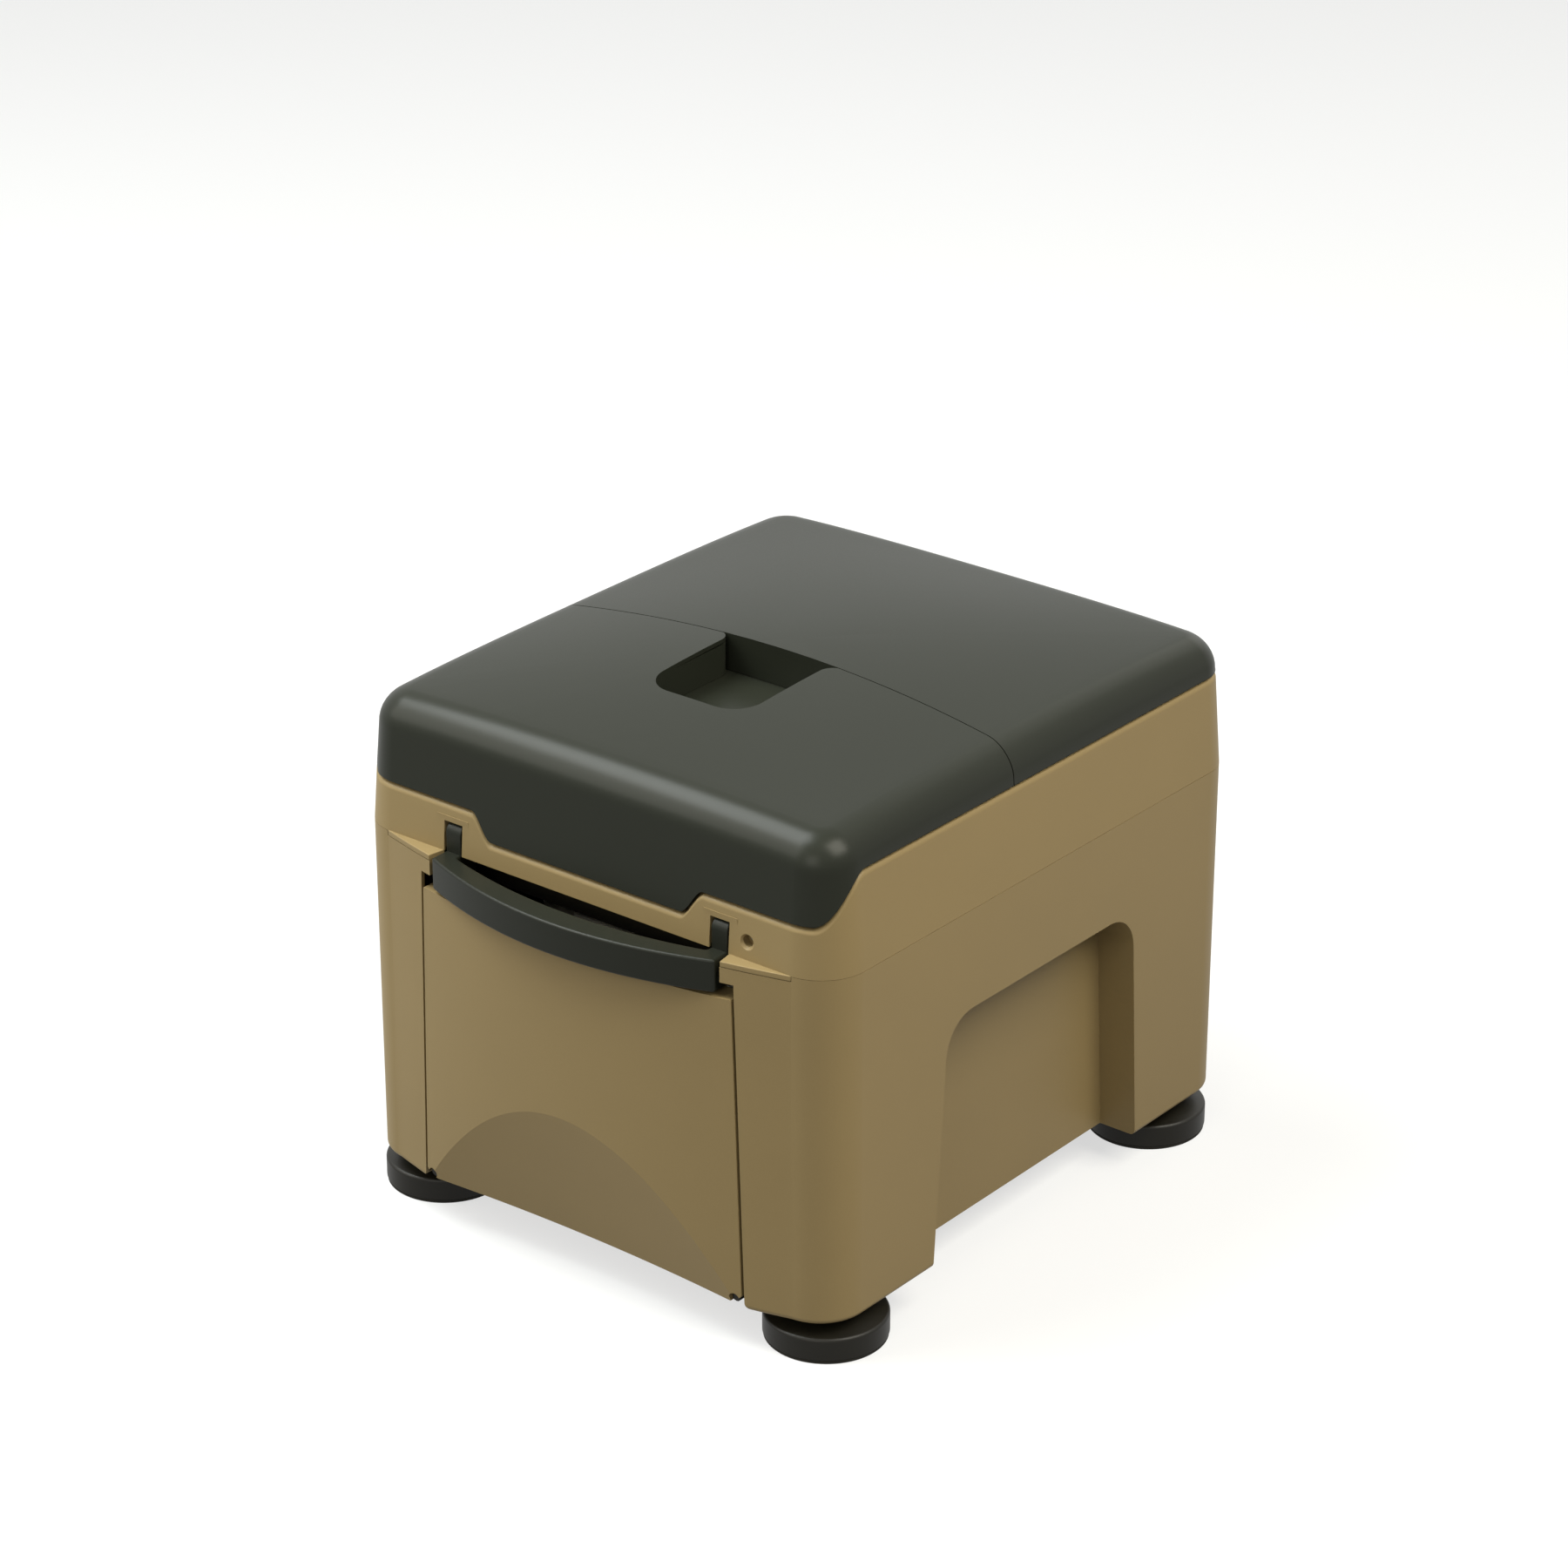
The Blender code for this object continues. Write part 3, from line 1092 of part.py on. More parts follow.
def bowl_insert(finish):
    """The lift-out splash bowl: a funnel that hangs in the deck's hole by its flange."""
    wide, long = SEAT_HOLE_HALF_WIDTH + BOWL_LEDGE, SEAT_HOLE_HALF_LENGTH + BOWL_LEDGE
    drop = DECK_BOTTOM_Z - BOWL_OUTLET_Z
    inner, outer = [], []
    for share, belly in BOWL_DOWN_BELLY_SHARES:
        half_w = wide + (BOWL_OUTLET_HALF_WIDTH - wide) * (share - belly)
        half_l = long + (BOWL_OUTLET_HALF_LENGTH - long) * (share - belly)
        z = DECK_BOTTOM_Z - drop * share
        outer.append(oval_ring(half_w + BOWL_WALL, half_l + BOWL_WALL, z))
        inner.append(oval_ring(half_w, half_l, z))
    low = DECK_TOP_Z + SEAT_GAP
    top = low + BOWL_FLANGE_THICKNESS
    reach = BOWL_WALL + BOWL_FLANGE_WIDTH
    rings = [oval_ring(wide + reach, long + reach, low),
             oval_ring(wide + BOWL_WALL, long + BOWL_WALL, low)] + outer
    rings += list(reversed(inner)) + [oval_ring(wide, long, top),
                                      oval_ring(wide + reach, long + reach, top)]
    piece("bowl_insert", loft(rings, closed=True), finish)


def seat_ring(finish):
    low, high = SEAT_BOTTOM_Z, SEAT_TOP_Z
    rise = high - low
    rings = []
    for across, up in SEAT_ACROSS_UP_SHARES:
        power = SEAT_SQUARENESS + (2 - SEAT_SQUARENESS) * across
        rings.append(oval_ring(SEAT_HALF_WIDTH - SEAT_BAND_WIDTH * across,
                               SEAT_HALF_LENGTH - SEAT_BAND_LENGTH * across,
                               low + rise * up, power))
    piece("seat_ring", loft(rings, closed=True), finish)


def seat_bumpers(finish):
    low = DECK_TOP_Z + SEAT_GAP
    along = (SEAT_HALF_LENGTH + SEAT_HOLE_HALF_LENGTH) / 2
    across = (SEAT_HALF_WIDTH + SEAT_HOLE_HALF_WIDTH) / 2
    places = [(0, SEAT_Y - along), (0, SEAT_Y + along), (-across, SEAT_Y), (across, SEAT_Y)]
    for number, place in enumerate(places, 1):
        piece(f"seat_bumper_{number}", cylinder(place, SEAT_BUMPER_RADIUS, low,
                                                low + SEAT_BUMPER_HEIGHT), finish)


# Carry handle

def carry_handle(finish, carrier):
    front = [(BOW_HALF_LENGTH * (2 * i / CURVE_STEPS - 1)) for i in range(CURVE_STEPS + 1)]
    inner = [ARM_INNER_X * (1 - 2 * i / CURVE_STEPS) for i in range(CURVE_STEPS + 1)]
    outline = [(x, FRONT_Y - BOW_REACH + BOW_SAG * (x / BOW_HALF_LENGTH) ** 2) for x in front]
    outline += [(BOW_HALF_LENGTH, ARM_BACK_Y), (ARM_INNER_X, ARM_BACK_Y)]
    outline += [(x, FRONT_Y - BOW_INNER_REACH + BOW_INNER_SAG * (x / ARM_INNER_X) ** 2)
                for x in inner]
    outline += [(-ARM_INNER_X, ARM_BACK_Y), (-BOW_HALF_LENGTH, ARM_BACK_Y)]
    handle = piece("carry_handle", prism(outline, BOW_BOTTOM_Z, BOW_TOP_Z), finish, carrier)
    bevel(handle, HANDLE_EDGE, 2, 50)
    for side, name in ((-1, "left"), (1, "right")):
        profile = [(PIVOT_Y - ARM_RADIUS, (BOW_BOTTOM_Z + BOW_TOP_Z) / 2)]
        for i in range(9):
            angle = math.pi * (1 - i / 8)
            profile.append((PIVOT_Y + ARM_RADIUS * math.cos(angle),
                            PIVOT_Z + ARM_RADIUS * math.sin(angle)))
        profile.append((PIVOT_Y + ARM_RADIUS - SEAT_GAP, (BOW_BOTTOM_Z + BOW_TOP_Z) / 2))
        low, high = sorted((side * (ARM_INNER_X + SEAT_GAP), side * ARM_OUTER_X))
        join(handle, helper(f"arm_{name}", prism(profile, low, high, "X")))
        cut(handle, pin_hole(f"arm_hole_{name}", low - OVERRUN, high + OVERRUN, PIVOT_Y,
                             PIVOT_Z, HANDLE_PIN_RADIUS))


def pins(finish):
    for side, name in ((-1, "left"), (1, "right")):
        low, high = sorted((side * (CHEEK_INNER_X + WALL / 2 + SEAT_GAP),
                            side * (CHEEK_OUTER_X - WALL / 2 - SEAT_GAP)))
        piece(f"handle_pin_{name}", cylinder((PIVOT_Y, PIVOT_Z), HANDLE_PIN_RADIUS, low, high, "X"),
              finish)
        reach = HINGE_LID_LENGTH / 2 + HINGE_FRAME_LENGTH
        piece(f"lid_pin_{name}", cylinder((HINGE_Y, HINGE_Z), HINGE_PIN_RADIUS,
                                          side * HINGE_X - reach, side * HINGE_X + reach, "X"),
              finish)


# Drawer

def drawer_front(finish, carrier):
    half = PANEL_BOTTOM_HALF + OVERRUN
    back = FRONT_Y + PANEL_BACK_SETBACK
    xs = [half * (2 * i / CURVE_STEPS - 1) for i in range(CURVE_STEPS + 1)]
    slab = [(x, bow_y(x)) for x in xs] + [(half, back), (-half, back)]
    corner = PANEL_CORNER
    knee = PANEL_BOTTOM_Z + PANEL_CORNER_HEIGHT
    face = filleted([(-PANEL_BOTTOM_HALF + corner, PANEL_BOTTOM_Z),
                     (PANEL_BOTTOM_HALF - corner, PANEL_BOTTOM_Z),
                     (panel_half(knee), knee),
                     (PANEL_TOP_HALF, PANEL_TOP_Z), (-PANEL_TOP_HALF, PANEL_TOP_Z),
                     (-panel_half(knee), knee)],
                    [corner / 4] * 3 + [LEDGE_EDGE, LEDGE_EDGE, corner / 4], 3)
    panel = piece("drawer_front", prism(slab, PANEL_BOTTOM_Z - OVERRUN, PANEL_TOP_Z + OVERRUN),
                  finish, carrier)
    keep(panel, helper("panel_outline", prism(face, FRONT_Y - BOW_DEPTH - OVERRUN,
                                              back + OVERRUN, "Y")))
    cut(panel, helper("heel_recess", heel_prism(0.0)))

    inner_xs = [(PANEL_BOTTOM_HALF - PANEL_WALL) * (2 * i / CURVE_STEPS - 1)
                for i in range(CURVE_STEPS + 1)]
    rings = []
    for height in (PANEL_BOTTOM_Z + PANEL_WALL, PANEL_BOTTOM_Z + PANEL_CORNER + PANEL_WALL,
                   PANEL_TOP_Z - PANEL_WALL):
        low = height < PANEL_BOTTOM_Z + PANEL_CORNER
        reach = panel_half(height, -PANEL_WALL - (PANEL_CORNER if low else 0.0))
        scale = reach / (PANEL_BOTTOM_HALF - PANEL_WALL)
        ring = [(x * scale, bow_y(x * scale) + PANEL_WALL, height) for x in inner_xs]
        rings.append(ring + [(reach, back + OVERRUN, height), (-reach, back + OVERRUN, height)])
    hollow = helper("panel_hollow", loft(rings))
    cut(hollow, helper("heel_lining", heel_prism(PANEL_WALL)))
    cut(panel, hollow)
    for side, name in ((-1, "left"), (1, "right")):
        cut(panel, helper(f"glide_room_{name}",
                          cylinder((side * GLIDE_X, GLIDE_Z), GLIDE_RADIUS + SEAT_GAP,
                                   FRONT_Y - BOW_DEPTH - OVERRUN, back + OVERRUN, "Y")))
    for i, (x, z) in enumerate(drawer_screw_places()):
        start = bow_y(x) + PANEL_WALL / 2
        join(panel, helper(f"panel_boss_{i}", cylinder((x, z), DRAWER_BOSS_RADIUS, start,
                                                       back - SEAT_GAP / 3, "Y")))
        cut(panel, helper(f"panel_boss_hole_{i}",
                          cylinder((x, z), SCREW_SHANK_RADIUS + SEAT_GAP,
                                   start + WALL, back + OVERRUN, "Y", 8)))


def heel_prism(grow):
    """The heel recess: a hollow face that leans in towards the floor, moved back by a wall."""
    half = PANEL_BOTTOM_HALF + OVERRUN
    lean = HEEL_DEPTH / (HEEL_TOP_Z - PANEL_BOTTOM_Z)
    low, high = PANEL_BOTTOM_Z - OVERRUN, HEEL_TOP_Z + OVERRUN
    base_y = FRONT_Y - BOW_DEPTH + HEEL_DEPTH + lean * OVERRUN + grow
    points = []
    for i in range(CURVE_STEPS + 1):
        x = half * (2 * i / CURVE_STEPS - 1)
        points.append((x, base_y - HEEL_HOLLOW * (x / PANEL_BOTTOM_HALF) ** 2))
    front = FRONT_Y - BOW_DEPTH - 2 * HEEL_DEPTH
    points += [(half, front), (-half, front)]
    return prism(points, low, high, "Z", (0.0, -lean * (high - low)))


def drawer_screw_places():
    return [(side * DRAWER_SCREW_X, z)
            for side in (-1, 1) for z in (DRAWER_SCREW_LOW_Z, DRAWER_SCREW_HIGH_Z)]


def drawer_tray(finish, carrier):
    front = TRAY_FRONT_Y
    rear = front + TRAY_LENGTH
    half = TRAY_HALF_WIDTH
    tray = piece("drawer_tray", box((-half, front, TRAY_BOTTOM_Z), (half, rear, TRAY_TOP_Z)),
                 finish, carrier)
    cut(tray, helper("tray_inside", box((-half + TRAY_WALL, front + TRAY_WALL,
                                         TRAY_BOTTOM_Z + TRAY_WALL),
                                        (half - TRAY_WALL, rear - TRAY_WALL,
                                         TRAY_TOP_Z + OVERRUN))))
    join(tray, helper("tray_face", box((-TRAY_FACE_HALF, front - SEAT_GAP / 3,
                                        TRAY_FACE_BOTTOM_Z),
                                       (TRAY_FACE_HALF, front + TRAY_WALL - SEAT_GAP / 3,
                                        TRAY_TOP_Z + SEAT_GAP))))
    lip = LINER_HALF_WIDTH - LINER_WALL - SEAT_GAP - RUNNER_WALL - RAIL_SIDE_PLAY
    low = RUNNER_BOTTOM_Z + RUNNER_WALL + SEAT_GAP
    high = RUNNER_BOTTOM_Z + RUNNER_HEIGHT - RUNNER_WALL - SEAT_GAP
    start = RUNNER_FRONT_Y
    for side, name in ((-1, "left"), (1, "right")):
        profile = [(side * (half - TRAY_WALL / 2), low), (side * lip, low), (side * lip, high),
                   (side * (lip - RUNNER_WALL), high), (side * (lip - RUNNER_WALL), low + RUNNER_WALL),
                   (side * (half - TRAY_WALL / 2), low + RUNNER_WALL)]
        join(tray, helper(f"tray_rail_{name}", prism(profile, start, rear - TRAY_WALL, "Y")))
    for i, (x, z) in enumerate(drawer_screw_places()):
        cut(tray, helper(f"tray_screw_hole_{i}", cylinder((x, z), SCREW_SHANK_RADIUS + SEAT_GAP,
                                                          front - OVERRUN,
                                                          front + TRAY_WALL + OVERRUN, "Y", 8)))


def drawer_small_parts(finish_steel, finish_glide, carrier):
    head = TRAY_FRONT_Y + TRAY_WALL + SEAT_GAP
    for number, place in enumerate(drawer_screw_places(), 1):
        screw(f"drawer_screw_{number}", place, head, True, finish_steel, carrier,
              DRAWER_SCREW_LENGTH, "Y")
    back = TRAY_FRONT_Y - 2 * SEAT_GAP
    nose = FRONT_Y - GLIDE_NOSE
    edge = GLIDE_RADIUS / 4
    profile = [(0, back), (GLIDE_RADIUS, back), (GLIDE_RADIUS, nose + edge),
               (GLIDE_RADIUS - edge, nose), (0, nose)]
    for number, side in enumerate((-1, 1), 1):
        revolve(f"drawer_glide_{number}", profile, (side * GLIDE_X, GLIDE_Z), finish_glide,
                carrier, "Y", SMALL_SEGMENTS)


def rounded_ring(half_width, half_length, height, radius):
    points = filleted([(-half_width, -half_length), (half_width, -half_length),
                       (half_width, half_length), (-half_width, half_length)], [radius] * 4, 5)
    return [(x, PAIL_Y + y, height) for x, y in points]


def waste_pail(finish, carrier):
    top_w, top_l, wall = PAIL_TOP_HALF_WIDTH, PAIL_TOP_HALF_LENGTH, PAIL_WALL
    base_w, base_l, edge = PAIL_BASE_HALF_WIDTH, PAIL_BASE_HALF_LENGTH, PAIL_FOOT_EDGE
    low, high, corner = PAIL_BOTTOM_Z, PAIL_TOP_Z, PAIL_CORNER
    rings = [rounded_ring(base_w - edge, base_l - edge, low, corner - edge),
             rounded_ring(base_w, base_l, low + edge, corner),
             rounded_ring(top_w, top_l, high - PAIL_FLANGE, corner),
             rounded_ring(top_w + PAIL_FLANGE, top_l + PAIL_FLANGE, high - PAIL_FLANGE,
                          corner + PAIL_FLANGE),
             rounded_ring(top_w + PAIL_FLANGE, top_l + PAIL_FLANGE, high, corner + PAIL_FLANGE),
             rounded_ring(top_w - wall, top_l - wall, high, corner - wall),
             rounded_ring(base_w - wall, base_l - wall, low + edge + wall, corner - wall),
             rounded_ring(base_w - edge - wall, base_l - edge - wall, low + wall,
                          corner - edge - wall)]
    pail = piece("waste_pail", loft(rings), finish, carrier)
    for sign, name in ((-1, "front"), (1, "rear")):
        outer = PAIL_Y + sign * (top_l + PAIL_FLANGE + PAIL_GRIP_REACH)
        inner = PAIL_Y + sign * (top_l + PAIL_FLANGE / 2)
        grip = filleted([(-PAIL_GRIP_HALF, inner), (PAIL_GRIP_HALF, inner),
                         (PAIL_GRIP_HALF, outer), (-PAIL_GRIP_HALF, outer)][::sign],
                        [0, 0, PAIL_FLANGE, PAIL_FLANGE][::sign], 3)
        join(pail, helper(f"pail_grip_{name}", prism(grip, high - PAIL_FLANGE + SEAT_GAP,
                                                     high - SEAT_GAP)))


def bay_liner(finish):
    low = FLOOR_TOP_Z + SEAT_GAP
    front, rear = LINER_FRONT_Y, LINER_REAR_Y
    half, wall = LINER_HALF_WIDTH, LINER_WALL
    liner = piece("bay_liner", box((-half, front, low), (half, rear, LINER_TOP_Z)), finish)
    cut(liner, helper("liner_inside", box((-half + wall, front - OVERRUN, low + wall),
                                          (half - wall, rear - wall, LINER_TOP_Z + OVERRUN))))


def runners(finish):
    outer = LINER_HALF_WIDTH - LINER_WALL - SEAT_GAP
    inner = outer - RUNNER_DEPTH
    low, high, wall = RUNNER_BOTTOM_Z, RUNNER_BOTTOM_Z + RUNNER_HEIGHT, RUNNER_WALL
    for side, name in ((-1, "left"), (1, "right")):
        profile = [(inner, low), (outer, low), (outer, high), (inner, high),
                   (inner, high - wall), (outer - wall, high - wall), (outer - wall, low + wall),
                   (inner, low + wall)]
        piece(f"runner_{name}", prism([(side * x, z) for x, z in profile], RUNNER_FRONT_Y,
                                      RUNNER_REAR_Y, "Y"), finish)


# Feet and fasteners

def feet(finish_disc, finish_steel, finish_rubber):
    pad = FOOT_PAD_HEIGHT
    bore = STUD_RADIUS + SEAT_GAP
    rounded = FOOT_ROUND * FOOT_ROUND_SHARE
    disc = [(0, STUD_FOOT_Z), (bore, STUD_FOOT_Z), (bore, FOOT_HUB_Z),
            (FOOT_HUB_RADIUS, FOOT_HUB_Z), (FOOT_SHOULDER_RADIUS, FOOT_SHOULDER_Z),
            (FOOT_RADIUS - FOOT_ROUND, FOOT_EDGE_Z + FOOT_ROUND),
            (FOOT_RADIUS - rounded, FOOT_EDGE_Z + FOOT_ROUND - rounded),
            (FOOT_RADIUS, FOOT_EDGE_Z), (FOOT_RADIUS, pad + SEAT_GAP), (0, pad + SEAT_GAP)]
    stud = [(0, STUD_TOP_Z), (STUD_RADIUS * STUD_TIP_SHARE, STUD_TOP_Z),
            (STUD_RADIUS, STUD_TOP_Z - STUD_RADIUS / 4), (STUD_RADIUS, STUD_FOOT_Z + SEAT_GAP),
            (0, STUD_FOOT_Z + SEAT_GAP)]
    sole = [(0, pad), (FOOT_RADIUS - FOOT_PAD_INSET, pad), (FOOT_RADIUS - FOOT_PAD_INSET, 0),
            (0, 0)]
    for name, x, y in foot_places():
        carrier = axis_empty(f"foot_axis_{name}", (x, y, 0))
        revolve(f"foot_disc_{name}", disc, (x, y), finish_disc, carrier)
        revolve(f"foot_stud_{name}", stud, (x, y), finish_steel, carrier, segments=HOLE_SEGMENTS)
        revolve(f"foot_pad_{name}", sole, (x, y), finish_rubber, carrier)


def fasteners(finish):
    for name, x, y in foot_places():
        piece(f"foot_nut_{name}", nut((x, y), FLOOR_TOP_Z + SEAT_GAP), finish)
    head = PARTING_Z + GUSSET_THICKNESS + SEAT_GAP
    for number, place in enumerate(frame_screw_places(), 1):
        screw(f"frame_screw_{number}", place, head, True, finish)
    sink = FRONT_Y + FRONT_SCREW_SINK + SCREW_HEAD_HEIGHT - SEAT_GAP
    screw("front_screw", (FRONT_SCREW_X, FRONT_SCREW_Z), sink, False, finish, None,
          SCREW_LENGTH / 2, "Y")


def nut(centre, low):
    """A hexagon nut with a round bore, as a loft from the hexagon to the bore."""
    count = 24
    hexagon, hole = [], []
    for i in range(count):
        angle = math.tau * i / count
        off_flat = (angle + math.pi / 6) % (math.pi / 3) - math.pi / 6
        reach = NUT_RADIUS * math.cos(math.pi / 6) / math.cos(off_flat)
        for ring, radius in ((hexagon, reach), (hole, STUD_RADIUS + SEAT_GAP)):
            ring.append((centre[0] + radius * math.cos(angle),
                         centre[1] + radius * math.sin(angle)))
    rings = []
    for points, height in ((hexagon, low), (hexagon, low + NUT_HEIGHT), (hole, low + NUT_HEIGHT),
                           (hole, low)):
        rings.append([(x, y, height) for x, y in points])
    return loft(rings, closed=True)


def build():
    tan = (TAN, 0.42)
    charcoal = (CHARCOAL, 0.4)
    black = (BLACK, 0.5)
    rubber = (BLACK, 0.75)
    stone = (STONE, 0.4)
    steel = (STEEL, 0.3, 1.0)
    lid_axis = axis_empty("lid_axis", (0, HINGE_Y, HINGE_Z))
    handle_axis = axis_empty("handle_axis", (0, PIVOT_Y, PIVOT_Z))
    drawer_axis = axis_empty("drawer_axis", (0, TRAY_FRONT_Y, TRAY_BOTTOM_Z))

    lower_body(tan)
    upper_frame(tan)
    bay_liner(black)
    runners(black)
    seat_deck(stone)
    bowl_insert(stone)
    seat_ring(stone)
    seat_bumpers(rubber)
    lid_covers(charcoal, lid_axis)
    lid_pan(charcoal, lid_axis)
    lid_gasket(rubber, lid_axis)
    lid_small_parts(rubber, steel, lid_axis)
    carry_handle(charcoal, handle_axis)
    pins(steel)
    drawer_front(tan, drawer_axis)
    drawer_tray(black, drawer_axis)
    drawer_small_parts(steel, black, drawer_axis)
    waste_pail(stone, drawer_axis)
    feet(black, steel, rubber)
    fasteners(steel)


build()
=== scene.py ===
"""The looks of the portable potty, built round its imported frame."""

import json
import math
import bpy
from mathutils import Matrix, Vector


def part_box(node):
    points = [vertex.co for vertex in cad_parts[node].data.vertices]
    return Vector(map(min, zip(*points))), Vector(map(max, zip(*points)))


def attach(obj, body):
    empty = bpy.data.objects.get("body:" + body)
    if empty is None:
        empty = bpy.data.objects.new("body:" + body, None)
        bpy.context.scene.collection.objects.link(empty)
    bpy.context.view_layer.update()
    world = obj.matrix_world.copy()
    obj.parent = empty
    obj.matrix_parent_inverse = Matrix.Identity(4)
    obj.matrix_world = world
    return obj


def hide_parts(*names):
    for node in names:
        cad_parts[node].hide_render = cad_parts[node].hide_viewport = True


bl_info = {
    "name": "Portable Potty Looks",
    "version": (1, 0, 0),
    "blender": (4, 5, 0),
    "location": "View3D > Sidebar > Potty",
    "description": "Moulded covers, housing, handle, drawer and feet round the packed frame",
    "category": "Object",
}

import bmesh
import bpy
from bpy.props import FloatProperty, FloatVectorProperty, IntProperty, PointerProperty
from mathutils import Matrix, Vector

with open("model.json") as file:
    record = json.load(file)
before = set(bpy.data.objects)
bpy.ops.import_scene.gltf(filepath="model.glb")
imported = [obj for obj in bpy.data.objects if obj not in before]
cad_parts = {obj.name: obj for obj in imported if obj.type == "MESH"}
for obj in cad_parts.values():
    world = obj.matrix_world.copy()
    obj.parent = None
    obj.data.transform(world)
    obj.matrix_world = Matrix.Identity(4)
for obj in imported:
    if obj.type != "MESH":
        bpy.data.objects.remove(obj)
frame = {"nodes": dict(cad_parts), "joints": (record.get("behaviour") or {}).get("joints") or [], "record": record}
NODES = frame["nodes"]
JOINTS = {joint["name"]: joint for joint in frame["joints"]}
SLOTS = {row["node"]: row["material_slot"] for row in frame["record"]["subparts"]}


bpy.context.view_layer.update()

# Places read from the frame
BODY_LOW, BODY_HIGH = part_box("lower_body")
SEAT_LOW, SEAT_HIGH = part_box("seat_ring")
PAIL_LOW, PAIL_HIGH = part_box("waste_pail")
HINGE_YZ = tuple(JOINTS["lid_hinge"]["pos_m"][1:])
PIVOT_YZ = tuple(JOINTS["handle_hinge"]["pos_m"][1:])
HALF_WIDTH = BODY_HIGH.x
REAR_Y = BODY_HIGH.y
LEG_BOTTOM_Z = BODY_LOW.z
PAN_TOP_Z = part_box("lid_pan")[1].z
DECK_TOP_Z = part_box("seat_deck")[1].z
BOWL_OUTLET_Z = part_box("bowl_insert")[0].z
BOWL_TOP_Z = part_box("bowl_insert")[1].z

# Housing, the same sizes as the frame's solids
SEAT_GAP = 0.0003
OVERRUN = 0.006
BITE = 0.0012
FINE_EDGE = 0.0006
FRAME_EDGE = 0.0005
WALL = 0.003
PARTING_Z = BODY_HIGH.z + SEAT_GAP
BODY_DEPTH = 0.447
FRONT_Y = REAR_Y - BODY_DEPTH
CORNER_RADIUS = 0.034
CORNER_X = HALF_WIDTH - CORNER_RADIUS
CORNER_FRONT_Y = FRONT_Y + CORNER_RADIUS
CORNER_REAR_Y = REAR_Y - CORNER_RADIUS
CORNER_CENTRES = ((CORNER_X, CORNER_FRONT_Y), (CORNER_X, CORNER_REAR_Y),
                  (-CORNER_X, CORNER_REAR_Y), (-CORNER_X, CORNER_FRONT_Y))
DRAFT = 0.005
DRAFT_HEIGHT = 0.068
LEG_EDGE = 0.0042
LEG_CORNER = 0.006
FLOOR_TOP_Z = LEG_BOTTOM_Z + 0.0035
BOW_DEPTH = 0.0243
BOW_HALF_WIDTH = 0.1689
LEDGE_INNER_X = 0.1218
LEDGE_ROOT_X = 0.1196
LEDGE_DROP = 0.0035
LEDGE_EDGE = 0.0014

# Rim of the upper frame
RIM_SIDE_Z = 0.3396
RIM_FRONT_Z = 0.3072
RIM_CENTRE_Z = 0.2892
APRON_HALF_WIDTH = 0.079
APRON_SLOPE = 0.018
CORNER_SLOPE_START_SHARE = 0.32
CORNER_SLOPE_TAIL = 0.007
RIM_BEAD = 0.004
UPSTAND_INSET = 0.0105
UPSTAND_TOP_Z = 0.336

# Side recesses
ARCH_TOP_Z = 0.2035
ARCH_FRONT_Y_TOP = 0.1217
ARCH_FRONT_Y_BOTTOM = 0.1091
ARCH_REAR_Y_TOP = 0.3264
ARCH_REAR_Y_BOTTOM = 0.3377
ARCH_RADIUS = 0.028
ARCH_DEPTH = 0.029

# Lid
LID_GAP = 0.0018
LID_EDGE_Z = 0.3668
LID_CROWN = 0.0152
LID_CORNER_DROP = 0.003
LID_ROUND = 0.022
LID_RING_SHARES = (0.96, 0.9, 0.82, 0.73, 0.63, 0.52, 0.4, 0.27, 0.14)
LID_CENTRE_Y = (FRONT_Y + REAR_Y) / 2
LID_HALF_WIDTH = HALF_WIDTH - 2 * DRAFT
LID_HALF_DEPTH = BODY_DEPTH / 2 - 2 * DRAFT
SEAM_SETBACK = 0.1937
SEAM_BOW = 0.0072
NOTCH_HALF_WIDTH = 0.0413
NOTCH_FRONT_SETBACK = 0.1085
NOTCH_RADIUS = 0.022
NOTCH_MOUTH_RADIUS = 0.011
NOTCH_WALL = 0.0025
HINGE_X = 0.1
HINGE_BARREL_RADIUS = 0.005
HINGE_PIN_RADIUS = 0.0025
HINGE_LID_HALF = 0.012
HINGE_FRAME_LENGTH = 0.012
HINGE_LUG_HEIGHT = 0.02
HINGE_WEB_HEIGHT = 0.008

# Carry handle and its pocket
BOW_REACH = 0.0372
BOW_HALF_LENGTH = 0.1183
BOW_SAG = 0.0242
BOW_BOTTOM_Z = 0.2517
BOW_TOP_Z = 0.2743
BOW_INNER_REACH = 0.0187
BOW_INNER_SAG = 0.0154
BOW_EDGE = 0.0018
ARM_INNER_X = 0.1047
ARM_OUTER_X = BOW_HALF_LENGTH - (BOW_HALF_LENGTH - ARM_INNER_X) / 30
ARM_RADIUS = 0.007
ARM_EDGE = 0.0008
ARM_TOP_Z = PIVOT_YZ[1] + ARM_RADIUS
ARM_BACK_Y = PIVOT_YZ[0] + ARM_RADIUS
SLOT_GAP = 0.001
POCKET_HALF_WIDTH = 0.1216
POCKET_BACK_Y = FRONT_Y + 0.021
POCKET_BOTTOM_Z = 0.251
POCKET_EDGE = 0.001
CHEEK_INNER_X = 0.0985
CHEEK_OUTER_X = 0.1255
CHEEK_TOP_Z = 0.2995
CHEEK_DEPTH = 0.0215

